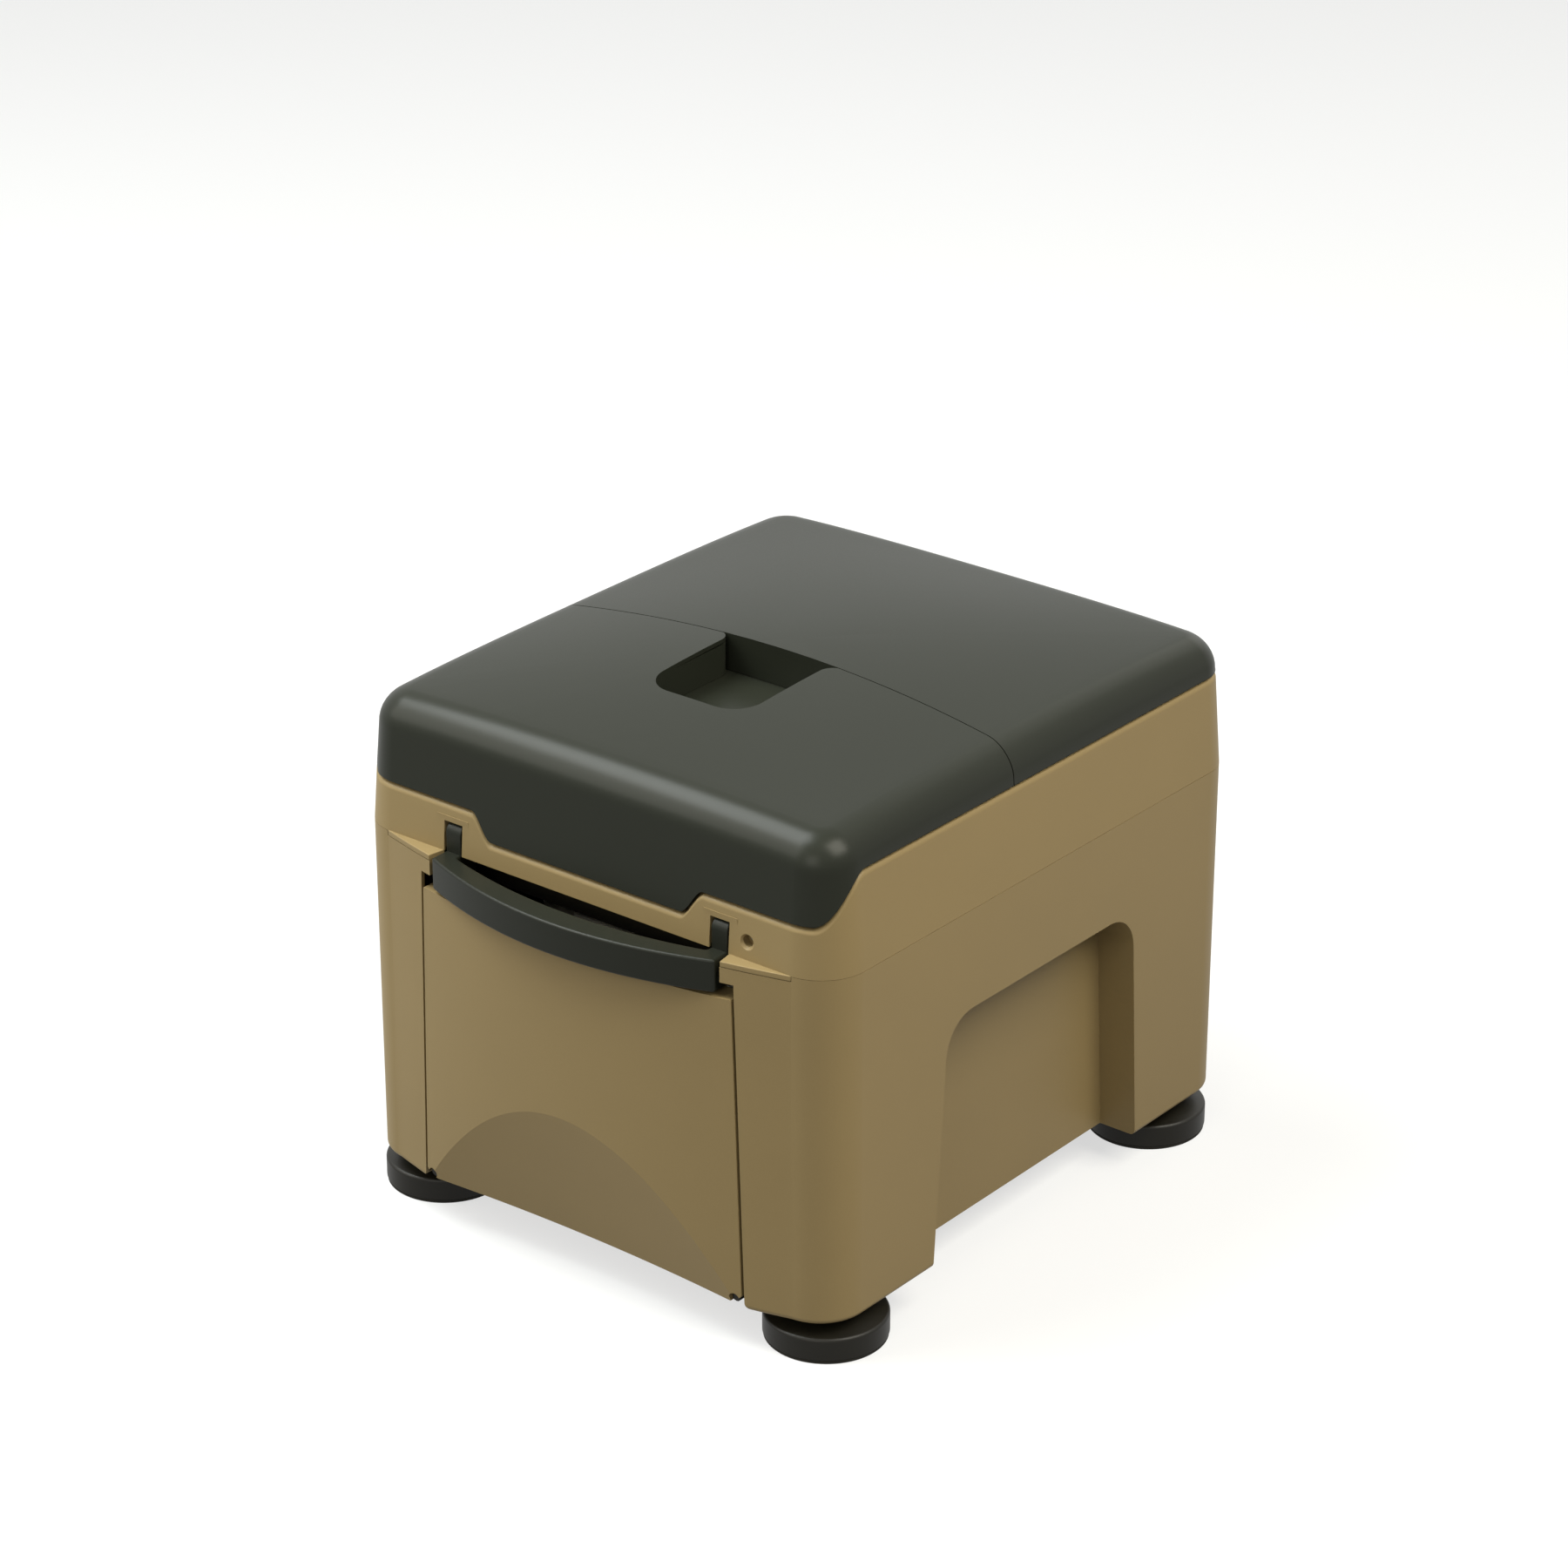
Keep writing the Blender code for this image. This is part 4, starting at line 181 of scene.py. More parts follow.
# Screws. A group has its body, the turn of its heads, their axis and the way that they face.
SCREW_SHANK_RADIUS = 0.0018
SCREW_HEAD_RADIUS = 0.0036
SCREW_HEAD_HEIGHT = 0.0026
SCREW_TOP_SHARE = 0.72
SCREW_SLOT_LENGTH_SHARE = 1.1
SCREW_SLOT_WIDTH_SHARE = 0.26
SCREW_SLOT_RAISE_SHARE = 1.1
SCREW_SLOT_TURN = 0.3
SCREW_GROUPS = {"lid_screw": ("lid", (math.pi, 0.0, 0.0), 2, -1),
                "drawer_screw": ("drawer", (-math.pi / 2, 0.0, 0.0), 1, 1),
                "frame_screw": ("housing", (0.0, 0.0, 0.0), 2, 1),
                "front_screw": ("housing", (math.pi / 2, 0.0, 0.0), 1, -1)}
FRONT_HOLE = (0.1336, 0.2868)
FRONT_HOLE_RADIUS = 0.004
FRONT_HOLE_RIM = 0.0015
FRONT_BOSS_RADIUS = 0.0065
FRONT_BOSS_DEPTH = 0.016
FRONT_SCREW_SINK = 0.005

# Drawer front
OPENING_TOP_Z = 0.2598
PANEL_TOP_Z = 0.249
PANEL_BOTTOM_Z = 0.0322
PANEL_TOP_HALF = 0.1293
PANEL_BOTTOM_HALF = 0.1357
PANEL_GAP = 0.002
PANEL_CORNER = 0.009
PANEL_CORNER_HEIGHT = 0.0055
PANEL_BACK_Y = FRONT_Y + 0.0037
PANEL_WALL = 0.003
HEEL_DEPTH = 0.0204
HEEL_TOP_Z = 0.127
HEEL_HOLLOW = 0.0058
HEEL_CREASE = 7
FLOOR_SETBACK = 0.015
GLIDE_RADIUS = 0.0034
GLIDE_X = 0.1302
GLIDE_Z = 0.0355

# Seat, bowl and pail. The seat's profile is a share of the way in and a share of the way up.
SEAT_Y = FRONT_Y + 0.2167
SEAT_HALF_LENGTH = 0.186
SEAT_SQUARENESS = 3.2
SEAT_HOLE_HALF_WIDTH = 0.103
SEAT_HOLE_HALF_LENGTH = 0.13
SEAT_PROFILE = (
    (0.0, 0.3), (0.0, 0.45), (0.006, 0.65), (0.03, 0.85), (0.06, 0.95), (0.1, 1.0), (0.3, 1.0),
    (0.6, 0.96), (0.8, 0.88), (0.93, 0.76), (0.985, 0.62), (1.0, 0.45), (0.995, 0.2),
    (0.97, 0.0), (0.03, 0.0), (0.008, 0.1))
DECK_BOTTOM_Z = DECK_TOP_Z - 0.0025
BOWL_LEDGE = 0.004
BOWL_WALL = 0.0025
BOWL_FLANGE_WIDTH = 0.006
BOWL_BELLY = 0.12
BOWL_BELLY_END = 0.85
BOWL_BELLY_FADE = 0.3
BOWL_OUTLET_HALF_WIDTH = 0.08
BOWL_OUTLET_HALF_LENGTH = 0.098
PAIL_Y = FRONT_Y + 0.2067
PAIL_WALL = 0.0025
PAIL_TAPER = 0.014
PAIL_CORNER = 0.035
PAIL_FLANGE = 0.006
PAIL_GRIP_HALF = 0.045
PAIL_GRIP_REACH = 0.014
PAIL_FOOT_EDGE = 0.006

# Feet
FOOT_NAMES = ("front_left", "front_right", "rear_left", "rear_right")
FOOT_RADIUS = 0.0413
FOOT_RIM = 0.0025
FOOT_RIM_Z = 0.018
FOOT_SHOULDER = (0.03, 0.021)
FOOT_HUB_RADIUS = 0.013
FOOT_BORE_Z = 0.01
FOOT_ROUNDINGS = (0, 0.0006, FOOT_RIM, 0.02, 0.001, 0.0004, 0, 0)
STUD_RADIUS = 0.006
THREAD_DEPTH = 0.0004
THREAD_RIDGE_SHARE = 0.26
PAD_INSET = 0.0006
PAD_EDGE = 0.0005
TREAD_RADII = (0.008, 0.016, 0.024, 0.032)
TREAD_SLOPE = 0.0006
TREAD_WIDTH = 0.0014
TREAD_DEPTH = 0.0008

# Stage: each light's place, size and colour, and the camera fitted to the photograph
LIGHTS = {"key": ((-1.35, -0.7, 2.8), 1.7, (0.95, 1.0, 0.98)),
          "front": ((-2.0, -2.1, 2.2), 2.4, (1.0, 0.98, 0.9)),
          "fill": ((0.9, -2.9, 1.5), 1.4, (1.0, 0.98, 0.88)),
          "side": ((1.9, 0.1, 2.6), 1.8, (1.0, 0.97, 0.85)),
          "rear": ((0.0, 3.0, 2.0), 1.8, (1.0, 0.99, 0.9))}
LIGHT_AIM = Vector((0, 0, 0.2))
FLOOR_HALF = 6.0
CAMERA_LENS = 108.33
CAMERA_PLACE = (1.7827, -2.22665, 1.5901)
CAMERA_BACK = (0.5687, -0.7090, 0.4170)


def srgb(red, green, blue):
    """A colour of 0 to 255 per channel, as light."""
    shares = [value / 255 for value in (red, green, blue)]
    return tuple(share / 12.92 if share <= 0.04045 else ((share + 0.055) / 1.055) ** 2.4
                 for share in shares)


class PottySizes(bpy.types.PropertyGroup):
    """Small sizes of the moulded pieces."""

    seam_gap: FloatProperty(name="Lid seam gap", description="Width of the seam across the lid",
                            default=0.0008, min=0.0003, max=0.003, unit="LENGTH")
    edge_round: FloatProperty(name="Edge rounding", description="Rounding of the drawer front",
                              default=0.0009, min=0.0002, max=0.003, unit="LENGTH")
    recess_round: FloatProperty(name="Recess rounding",
                                description="Rounding at the mouth of the side recesses",
                                default=0.0024, min=0.0002, max=0.004, unit="LENGTH")
    corner_steps: IntProperty(name="Corner steps", description="Facets in each rounded corner",
                              default=18, min=4, max=48)
    thread_pitch: FloatProperty(name="Thread pitch", description="Pitch of the foot studs",
                                default=0.0015, min=0.0008, max=0.004, unit="LENGTH")


class PottyColours(bpy.types.PropertyGroup):
    """Colours of the finishes."""

    housing: FloatVectorProperty(name="Housing", description="Tan moulded plastic",
                                 default=srgb(140, 121, 84), min=0, max=1, subtype="COLOR")
    lid: FloatVectorProperty(name="Lid", description="Charcoal moulded plastic",
                             default=srgb(36, 38, 31), min=0, max=1, subtype="COLOR")
    feet: FloatVectorProperty(name="Feet", description="Black moulded plastic",
                              default=srgb(22, 20, 14), min=0, max=1, subtype="COLOR")
    seat: FloatVectorProperty(name="Seat", description="Pale wipe-clean plastic",
                              default=srgb(186, 182, 170), min=0, max=1, subtype="COLOR")


class PottyStage(bpy.types.PropertyGroup):
    """Power of the lights and whiteness of the surroundings."""

    key_power: FloatProperty(name="Key light", description="Power of the high left light",
                             default=105.0, min=0, unit="POWER")
    front_power: FloatProperty(name="Front light", description="Power of the front left light",
                               default=60.0, min=0, unit="POWER")
    fill_power: FloatProperty(name="Fill light", description="Power of the low front light",
                              default=20.0, min=0, unit="POWER")
    side_power: FloatProperty(name="Side light", description="Power of the right light",
                              default=100.0, min=0, unit="POWER")
    rear_power: FloatProperty(name="Rear light", description="Power of the light behind",
                              default=10.0, min=0, unit="POWER")
    room: FloatProperty(name="Room light", description="Strength of the even light all round",
                        default=0.1, min=0, max=2)
    floor_white: FloatProperty(name="Floor white", description="Share of white in the seen floor",
                               default=0.65, min=0, max=1, subtype="FACTOR")


def sizes():
    return bpy.context.scene.potty_sizes


# Plane curves

def smooth(share):
    share = min(max(share, 0.0), 1.0)
    return share * share * (3 - 2 * share)


def spread(low, high, count):
    return [low + (high - low) * i / count for i in range(count + 1)]


def bowed(x, half, middle, end):
    """A parabola that has one value at x = 0 and another at x = half."""
    return middle + (end - middle) * (x / half) ** 2


def mirrored(points):
    """A half outline and its mirror image, which runs back."""
    return points + [(-x, y) for x, y in reversed(points)]


def arc(centre, radius, start, end, steps):
    """Points of a circle from one angle to another, in degrees."""
    return [(centre[0] + radius * math.cos(angle), centre[1] + radius * math.sin(angle))
            for angle in spread(math.radians(start), math.radians(end), steps)]


def corner_arc(before, corner, after, radius, steps):
    if radius == 0:
        return [tuple(corner)]
    corner = Vector(corner)
    to_before = (Vector(before) - corner).normalized()
    to_after = (Vector(after) - corner).normalized()
    half = to_before.angle(to_after) / 2
    centre = corner + (to_before + to_after).normalized() * radius / math.sin(half)
    start = corner + to_before * radius / math.tan(half) - centre
    end = corner + to_after * radius / math.tan(half) - centre
    turn = start.angle_signed(end)
    return [tuple(centre + Matrix.Rotation(-turn * step / steps, 2) @ start)
            for step in range(steps + 1)]


def filleted(points, radii, steps=8):
    """Round the corners of a closed outline; a radius of zero leaves a corner sharp."""
    made = []
    for i, (corner, radius) in enumerate(zip(points, radii)):
        after = points[(i + 1) % len(points)]
        made += corner_arc(points[i - 1], corner, after, radius, steps)
    return made


# Solid meshes

def finished(bm):
    """A mesh from a bmesh whose faces all point outwards."""
    bm.normal_update()
    bmesh.ops.recalc_face_normals(bm, faces=bm.faces)
    mesh = bpy.data.meshes.new("mesh")
    bm.to_mesh(mesh)
    bm.free()
    return mesh


def loft(rings, closed=False, tip=None):
    """Skin rings of points that have the same count. Closed joins the last ring to the first."""
    bm = bmesh.new()
    skins = [[bm.verts.new(point) for point in ring] for ring in rings]
    count = len(skins[0])
    for lower, upper in list(zip(skins, skins[1:])) + ([(skins[-1], skins[0])] if closed else []):
        for i in range(count):
            j = (i + 1) % count
            bm.faces.new((lower[i], lower[j], upper[j], upper[i]))
    if tip is not None:
        apex = bm.verts.new(tip)
        for i in range(count):
            bm.faces.new((skins[-1][i], skins[-1][(i + 1) % count], apex))
    elif not closed:
        bm.faces.new(skins[0])
        bm.faces.new(skins[-1])
    return finished(bm)


def placed(axis, u, v, w):
    return {"X": (w, u, v), "Y": (u, w, v), "Z": (u, v, w)}[axis]


def prism(points, low, high, axis="Z", lean=0.0):
    """An outline raised from low to high along an axis, its far end moved by lean."""
    return loft([[placed(axis, u, v, low) for u, v in points],
                 [placed(axis, u, v + lean, high) for u, v in points]])


def side_prism(points, side, near, far):
    """An outline in y and z raised along x, between two distances out on one side."""
    return prism(points, *sorted((side * near, side * far)), "X")


def box(low, high):
    return prism([(low[0], low[1]), (high[0], low[1]), (high[0], high[1]), (low[0], high[1])],
                 low[2], high[2])


def side_box(side, near, far, low, high):
    """A box between two distances out on one side, and between two places in y and z."""
    left, right = sorted((side * near, side * far))
    return box((left, *low), (right, *high))


def cylinder(centre, radius, low, high, axis="Z", segments=48, top_radius=None):
    rings = []
    for reach, height in ((radius, low), (top_radius or radius, high)):
        ring = arc(centre, reach, 0, 360, segments)[:-1]
        rings.append([placed(axis, u, v, height) for u, v in ring])
    return loft(rings)


def pin_bore(place, low, high):
    """The step that bores a hinge pin's hole along x, past both ends."""
    return "-", cylinder(place, HINGE_PIN_RADIUS + SEAT_GAP, low - OVERRUN, high + OVERRUN,
                         "X", 24)


def turned(profile, centre, segments):
    """A profile of radius and height, from the axis and back to it, turned to a closed solid."""
    bm = bmesh.new()
    verts = [bm.verts.new((radius, 0, height)) for radius, height in profile]
    edges = [bm.edges.new(pair) for pair in zip(verts, verts[1:])]
    bmesh.ops.spin(bm, geom=verts + edges, cent=(0, 0, 0), axis=(0, 0, 1), angle=math.tau,
                   steps=segments)
    bmesh.ops.remove_doubles(bm, verts=bm.verts, dist=1e-6)
    bmesh.ops.translate(bm, verts=bm.verts, vec=(*centre, 0))
    return finished(bm)


# Working objects

def raw(name, mesh):
    made = bpy.data.objects.new(name, mesh)
    bpy.context.scene.collection.objects.link(made)
    return made


def settled(obj):
    """Turn the object's modifiers into its mesh."""
    graph = bpy.context.evaluated_depsgraph_get()
    mesh = bpy.data.meshes.new_from_object(obj.evaluated_get(graph))
    obj.modifiers.clear()
    old, obj.data = obj.data, mesh
    if old.users == 0:
        bpy.data.meshes.remove(old)
    return obj


def carved(target, *steps):
    """Apply booleans in turn: each step is an operation's sign and a mesh or object."""
    tools = []
    for i, (sign, shape) in enumerate(steps):
        tool = shape if isinstance(shape, bpy.types.Object) else raw(f"tool_{i}", shape)
        tools.append(tool)
        modifier = target.modifiers.new(f"step_{i}", "BOOLEAN")
        modifier.operation = {"-": "DIFFERENCE", "+": "UNION", "&": "INTERSECT"}[sign]
        modifier.object = tool
        modifier.solver = "EXACT"
    settled(target)
    for tool in tools:
        mesh = tool.data
        bpy.data.objects.remove(tool)
        bpy.data.meshes.remove(mesh)
    return target


def cleaned(obj, distance=2e-5):
    bm = bmesh.new()
    bm.from_mesh(obj.data)
    bmesh.ops.remove_doubles(bm, verts=bm.verts, dist=distance)
    bmesh.ops.dissolve_degenerate(bm, dist=distance, edges=bm.edges)
    bm.to_mesh(obj.data)
    bm.free()
    return obj


def rounded(obj, width, degrees, segments):
    """Round the edges sharper than an angle."""
    modifier = obj.modifiers.new("rounded edges", "BEVEL")
    modifier.width = width
    modifier.segments = segments
    modifier.limit_method = "ANGLE"
    modifier.angle_limit = math.radians(degrees)
    modifier.miter_outer = "MITER_ARC"
    modifier.use_clamp_overlap = True
    return settled(obj)


def shaded(obj, degrees=35):
    obj.data.shade_smooth()
    obj.data.set_sharp_from_angle(angle=math.radians(degrees))
    modifier = obj.modifiers.new("even shading", "WEIGHTED_NORMAL")
    modifier.keep_sharp = True
    modifier.weight = 50
    return settled(obj)


def softened(obj, width=FINE_EDGE, degrees=35, segments=2):
    """Clean a carved piece, round its edges and shade it."""
    return shaded(rounded(cleaned(obj), width, degrees, segments))


def dressed(obj, body, slot, *nodes, look=None):
    """Give a piece its finish, and let it stand for its nodes on its body."""
    obj.data.materials.clear()
    obj.data.materials.append(finish_for(look or slot))
    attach(obj, body)
    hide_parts(*nodes)


# Plan of the housing. Each station knows its place at any inset and the rim's height there.

def station_list():
    """Stations anticlockwise from the front, even along the straights and round the corners."""
    slope_end = APRON_HALF_WIDTH + APRON_SLOPE
    front = spread(APRON_HALF_WIDTH, slope_end, 16) + spread(slope_end, CORNER_X, 5)[1:-1]
    run = CORNER_REAR_Y - CORNER_FRONT_Y
    tails = spread(0, CORNER_SLOPE_TAIL, 6)[1:] + spread(CORNER_SLOPE_TAIL, run, 24)[1:-1]
    corners = [[("corner", k, share) for share in spread(0, 1, sizes().corner_steps)]
               for k in range(4)]
    return ([("front", x) for x in front] + corners[0]
            + [("side", 1, tail) for tail in tails] + corners[1]
            + [("rear", x) for x in spread(CORNER_X, -CORNER_X, 24)[1:-1]] + corners[2]
            + [("side", -1, tail) for tail in reversed(tails)] + corners[3]
            + [("front", -x) for x in reversed(front)]
            + [("front", x) for x in spread(-APRON_HALF_WIDTH, APRON_HALF_WIDTH, 12)[1:-1]])


def station_place(station, inset):
    """The station's x and y on the housing's outline drawn in by inset."""
    kind, where = station[:2]
    if kind == "front":
        return where, FRONT_Y + inset
    if kind == "rear":
        return where, REAR_Y - inset
    if kind == "side":
        return where * (HALF_WIDTH - inset), CORNER_FRONT_Y + station[2]
    centre = CORNER_CENTRES[where]
    angle = math.pi / 2 * (where - 1 + station[2])
    radius = CORNER_RADIUS - inset
    return centre[0] + radius * math.cos(angle), centre[1] + radius * math.sin(angle)


def rim_height(station):
    """The rim is low along the front, lowest behind the lid's apron, and rises at the corners."""
    kind, where = station[:2]
    if kind == "front":
        share = (abs(where) - APRON_HALF_WIDTH) / APRON_SLOPE
        return RIM_CENTRE_Z + (RIM_FRONT_Z - RIM_CENTRE_Z) * smooth(share)
    if kind == "rear" or (kind == "corner" and where in (1, 2)):
        return RIM_SIDE_Z
    quarter = CORNER_RADIUS * math.pi / 2
    start = quarter * CORNER_SLOPE_START_SHARE
    if kind == "side":
        travelled = quarter + station[2]
    else:
        travelled = quarter * (station[2] if where == 0 else 1 - station[2])
    share = smooth((travelled - start) / (quarter - start + CORNER_SLOPE_TAIL))
    return RIM_FRONT_Z + (RIM_SIDE_Z - RIM_FRONT_Z) * share


def draft(height):
    """How far the walls above the parting line have drawn in at a height."""
    return DRAFT * (height - PARTING_Z) / DRAFT_HEIGHT


def bow_y(x, tip_y=FRONT_Y):
    """The bowed front in plan: a shallow arc whose ends lie on the housing's front plane."""
    return bowed(x, BOW_HALF_WIDTH, tip_y - BOW_DEPTH, tip_y)


def lower_outline(inset):
    """Plan of the lower body: the bowed front between two rounded corners."""
    tip = math.degrees(math.asin((BOW_HALF_WIDTH - CORNER_X) / CORNER_RADIUS))
    tip_y = CORNER_FRONT_Y - CORNER_RADIUS * math.cos(math.radians(tip))
    half = BOW_HALF_WIDTH - inset / 2
    points = [(x, bow_y(x, tip_y) + inset) for x in spread(-half, half, 48)]
    turns = ((-90 + tip, 0), (0, 90), (90, 180), (180, 270 - tip))
    for centre, (start, end) in zip(CORNER_CENTRES, turns):
        points += arc(centre, CORNER_RADIUS - inset, start, end, sizes().corner_steps)
    del points[49], points[-1]
    return points


# Lower body

def arch_outline(grow):
    """Side view of a side recess, in y and z, grown by a wall where it is lined."""
    points = [(FRONT_Y + ARCH_FRONT_Y_BOTTOM - grow, LEG_BOTTOM_Z - OVERRUN),
              (FRONT_Y + ARCH_REAR_Y_BOTTOM + grow, LEG_BOTTOM_Z - OVERRUN),
              (FRONT_Y + ARCH_REAR_Y_TOP + grow, ARCH_TOP_Z + grow),
              (FRONT_Y + ARCH_FRONT_Y_TOP - grow, ARCH_TOP_Z + grow)]
    return filleted(points, (0, 0, ARCH_RADIUS + grow, ARCH_RADIUS + grow), 16)


def panel_half(height, grow=0.0):
    """Half the drawer front's width at a height: it is wider towards the floor."""
    share = (PANEL_TOP_Z - height) / (PANEL_TOP_Z - PANEL_BOTTOM_Z)
    return PANEL_TOP_HALF + (PANEL_BOTTOM_HALF - PANEL_TOP_HALF) * share + grow


def opening_outline():
    """Front view of the drawer's opening: it widens round the legs' inner corners."""
    knee = LEG_BOTTOM_Z + LEG_CORNER
    corner = arc((panel_half(knee, PANEL_GAP) + LEG_CORNER, knee), LEG_CORNER, 180, 270, 10)
    return mirrored([(panel_half(OPENING_TOP_Z, PANEL_GAP), OPENING_TOP_Z), *corner,
                     (corner[-1][0], LEG_BOTTOM_Z - OVERRUN)])


def lower_body_mesh():
    rings = arc((LEG_EDGE, LEG_BOTTOM_Z + LEG_EDGE), LEG_EDGE, -90, -180, 6)
    rings.append((0.0, PARTING_Z - SEAT_GAP))
    body = raw("lower_housing", loft([[(x, y, z) for x, y in lower_outline(inset)]
                                      for inset, z in rings]))
    cavity = raw("cavity", prism(lower_outline(WALL), FLOOR_TOP_Z, PARTING_Z + OVERRUN))
    deep, out = HALF_WIDTH - ARCH_DEPTH, HALF_WIDTH + OVERRUN
    linings = [("-", side_prism(arch_outline(WALL), side, deep - WALL, out)) for side in (-1, 1)]
    arches = [("-", side_prism(arch_outline(0.0), side, deep, out)) for side in (-1, 1)]
    cheek = POCKET_HALF_WIDTH + WALL
    carved(cavity, *linings,
           ("-", box((-cheek, FRONT_Y - BODY_DEPTH, POCKET_BOTTOM_Z),
                     (cheek, POCKET_BACK_Y + WALL, PARTING_Z + 2 * OVERRUN))))
    reach = FRONT_Y - BOW_DEPTH - OVERRUN
    ledge = BOW_HALF_WIDTH + SEAT_GAP
    return carved(
        body, *arches, ("-", cavity),
        ("-", box((-POCKET_HALF_WIDTH, reach, POCKET_BOTTOM_Z - OVERRUN),
                  (POCKET_HALF_WIDTH, POCKET_BACK_Y, PARTING_Z + OVERRUN))),
        ("-", prism(opening_outline(), reach, FRONT_Y + FLOOR_SETBACK, "Y")),
        ("-", box((-ledge, reach, PARTING_Z - LEDGE_DROP - SEAT_GAP),
                  (ledge, FRONT_Y + BITE + SEAT_GAP, PARTING_Z + OVERRUN))))


# Upper frame

def rim_profile(station):
    """Inset and height of each point round the frame's section at a station."""
    rim = rim_height(station)
    shoulder = draft(rim - RIM_BEAD)
    lining = min(rim, UPSTAND_TOP_Z) - WALL
    return [(0.0, PARTING_Z),
            *arc((shoulder + RIM_BEAD, rim - RIM_BEAD), RIM_BEAD, 180, 90, 6),
            (UPSTAND_INSET, rim), (UPSTAND_INSET, UPSTAND_TOP_Z),
            (UPSTAND_INSET + WALL, UPSTAND_TOP_Z), (UPSTAND_INSET + WALL, lining),
            (shoulder + WALL, lining), (WALL, PARTING_Z)]


def ledge_outline(side):
    """Plan of a ledge: a wedge that follows the bowed front and ends beside the handle."""
    points = [(side * x, bow_y(x)) for x in spread(BOW_HALF_WIDTH, LEDGE_INNER_X, 12)]
    return points + [(side * x, FRONT_Y + BITE) for x in (LEDGE_ROOT_X, BOW_HALF_WIDTH)]


def lug_outline(root_low_z, root_high_z):
    """Side view of a hinge lug: a barrel with a web to the rear wall, in y and z."""
    wall_y = REAR_Y - draft(HINGE_YZ[1]) - WALL / 3
    below = root_low_z < HINGE_YZ[1] - HINGE_BARREL_RADIUS
    start, end = (-60, 180) if below else (-150, 110)
    points = [(wall_y, root_low_z), *arc(HINGE_YZ, HINGE_BARREL_RADIUS, start, end, 24)]
    if below:
        points.append((HINGE_YZ[0] - HINGE_BARREL_RADIUS, root_high_z))
    return points + [(wall_y, root_high_z)]


def upper_frame_mesh():
    stations = station_list()
    sections = [rim_profile(station) for station in stations]
    rings = [[(*station_place(station, inset), z) for station, (inset, z) in zip(stations, level)]
             for level in zip(*sections)]
    steps = []
    for side in (-1, 1):
        ledge = raw("ledge", prism(ledge_outline(side), PARTING_Z - LEDGE_DROP,
                                   PARTING_Z + SEAT_GAP))
        steps += [("+", rounded(ledge, LEDGE_EDGE, 60, 4)),
                  ("+", side_box(side, CHEEK_INNER_X, CHEEK_OUTER_X,
                                 (FRONT_Y + WALL / 2, PARTING_Z + SEAT_GAP),
                                 (FRONT_Y + CHEEK_DEPTH, CHEEK_TOP_Z))),
                  ("-", side_box(side, ARM_INNER_X - SLOT_GAP, BOW_HALF_LENGTH + SLOT_GAP,
                                 (FRONT_Y - OVERRUN, PARTING_Z - OVERRUN),
                                 (ARM_BACK_Y + SLOT_GAP, ARM_TOP_Z + SLOT_GAP)))]
    rim = FRONT_HOLE_RIM
    for sign, radius, low, high, segments, top_radius in (
            ("+", FRONT_BOSS_RADIUS, WALL / 2, FRONT_BOSS_DEPTH, 48, None),
            ("-", FRONT_HOLE_RADIUS, -OVERRUN, FRONT_SCREW_SINK + SCREW_HEAD_HEIGHT, 48, None),
            ("-", FRONT_HOLE_RADIUS + 2 * rim, -rim / 2, 3 * rim / 2, 48, FRONT_HOLE_RADIUS),
            ("-", SCREW_SHANK_RADIUS + SEAT_GAP, 0.0, FRONT_BOSS_DEPTH + OVERRUN, 24, None)):
        steps.append((sign, cylinder(FRONT_HOLE, radius, FRONT_Y + low, FRONT_Y + high, "Y",
                                     segments, top_radius)))
    lug = lug_outline(HINGE_YZ[1] - HINGE_LUG_HEIGHT, RIM_SIDE_Z - RIM_BEAD)
    for x in (-HINGE_X, HINGE_X):
        for side in (-1, 1):
            near = x + side * (HINGE_LID_HALF + SEAT_GAP)
            steps.append(("+", prism(lug, *sorted((near, near + side * HINGE_FRAME_LENGTH)), "X")))
    reach = HINGE_LID_HALF + HINGE_FRAME_LENGTH
    steps += [pin_bore(HINGE_YZ, x - reach, x + reach) for x in (-HINGE_X, HINGE_X)]
    return carved(raw("upper_frame_cover", loft(rings, closed=True)), *steps)


# Lid

def crown(x, y):
    """Height of the lid's top: highest in the middle and a little lower at the corners."""
    across = min(1.0, (x / LID_HALF_WIDTH) ** 2)
    along = min(1.0, ((y - LID_CENTRE_Y) / LID_HALF_DEPTH) ** 2)
    drop = LID_CORNER_DROP * (across * along) ** 2
    return LID_EDGE_Z + LID_CROWN * (1 - across) * (1 - along) - drop


def lid_shell(name):
    """The whole lid's skin with its wall, from which the front and rear covers are cut."""
    stations = station_list()
    bottom = [rim_height(station) + LID_GAP for station in stations]
    rings = [[(*station_place(station, draft(z)), z) for station, z in zip(stations, bottom)]]
    edge_inset = draft(LID_EDGE_Z - LID_ROUND)
    for inset, fall in arc((edge_inset + LID_ROUND, -LID_ROUND), LID_ROUND, 180, 90, 10):
        places = [station_place(station, inset) for station in stations]
        rings.append([(x, y, crown(x, y) + fall) for x, y in places])
    edge = rings[-1]
    for share in LID_RING_SHARES:
        places = [(x * share, LID_CENTRE_Y + (y - LID_CENTRE_Y) * share) for x, y, _ in edge]
        rings.append([(x, y, crown(x, y)) for x, y in places])
    shell = raw(name, loft(rings, tip=(0, LID_CENTRE_Y, crown(0, LID_CENTRE_Y))))
    thick = shell.modifiers.new("wall", "SOLIDIFY")
    thick.thickness = WALL
    thick.offset = -1
    return settled(shell)


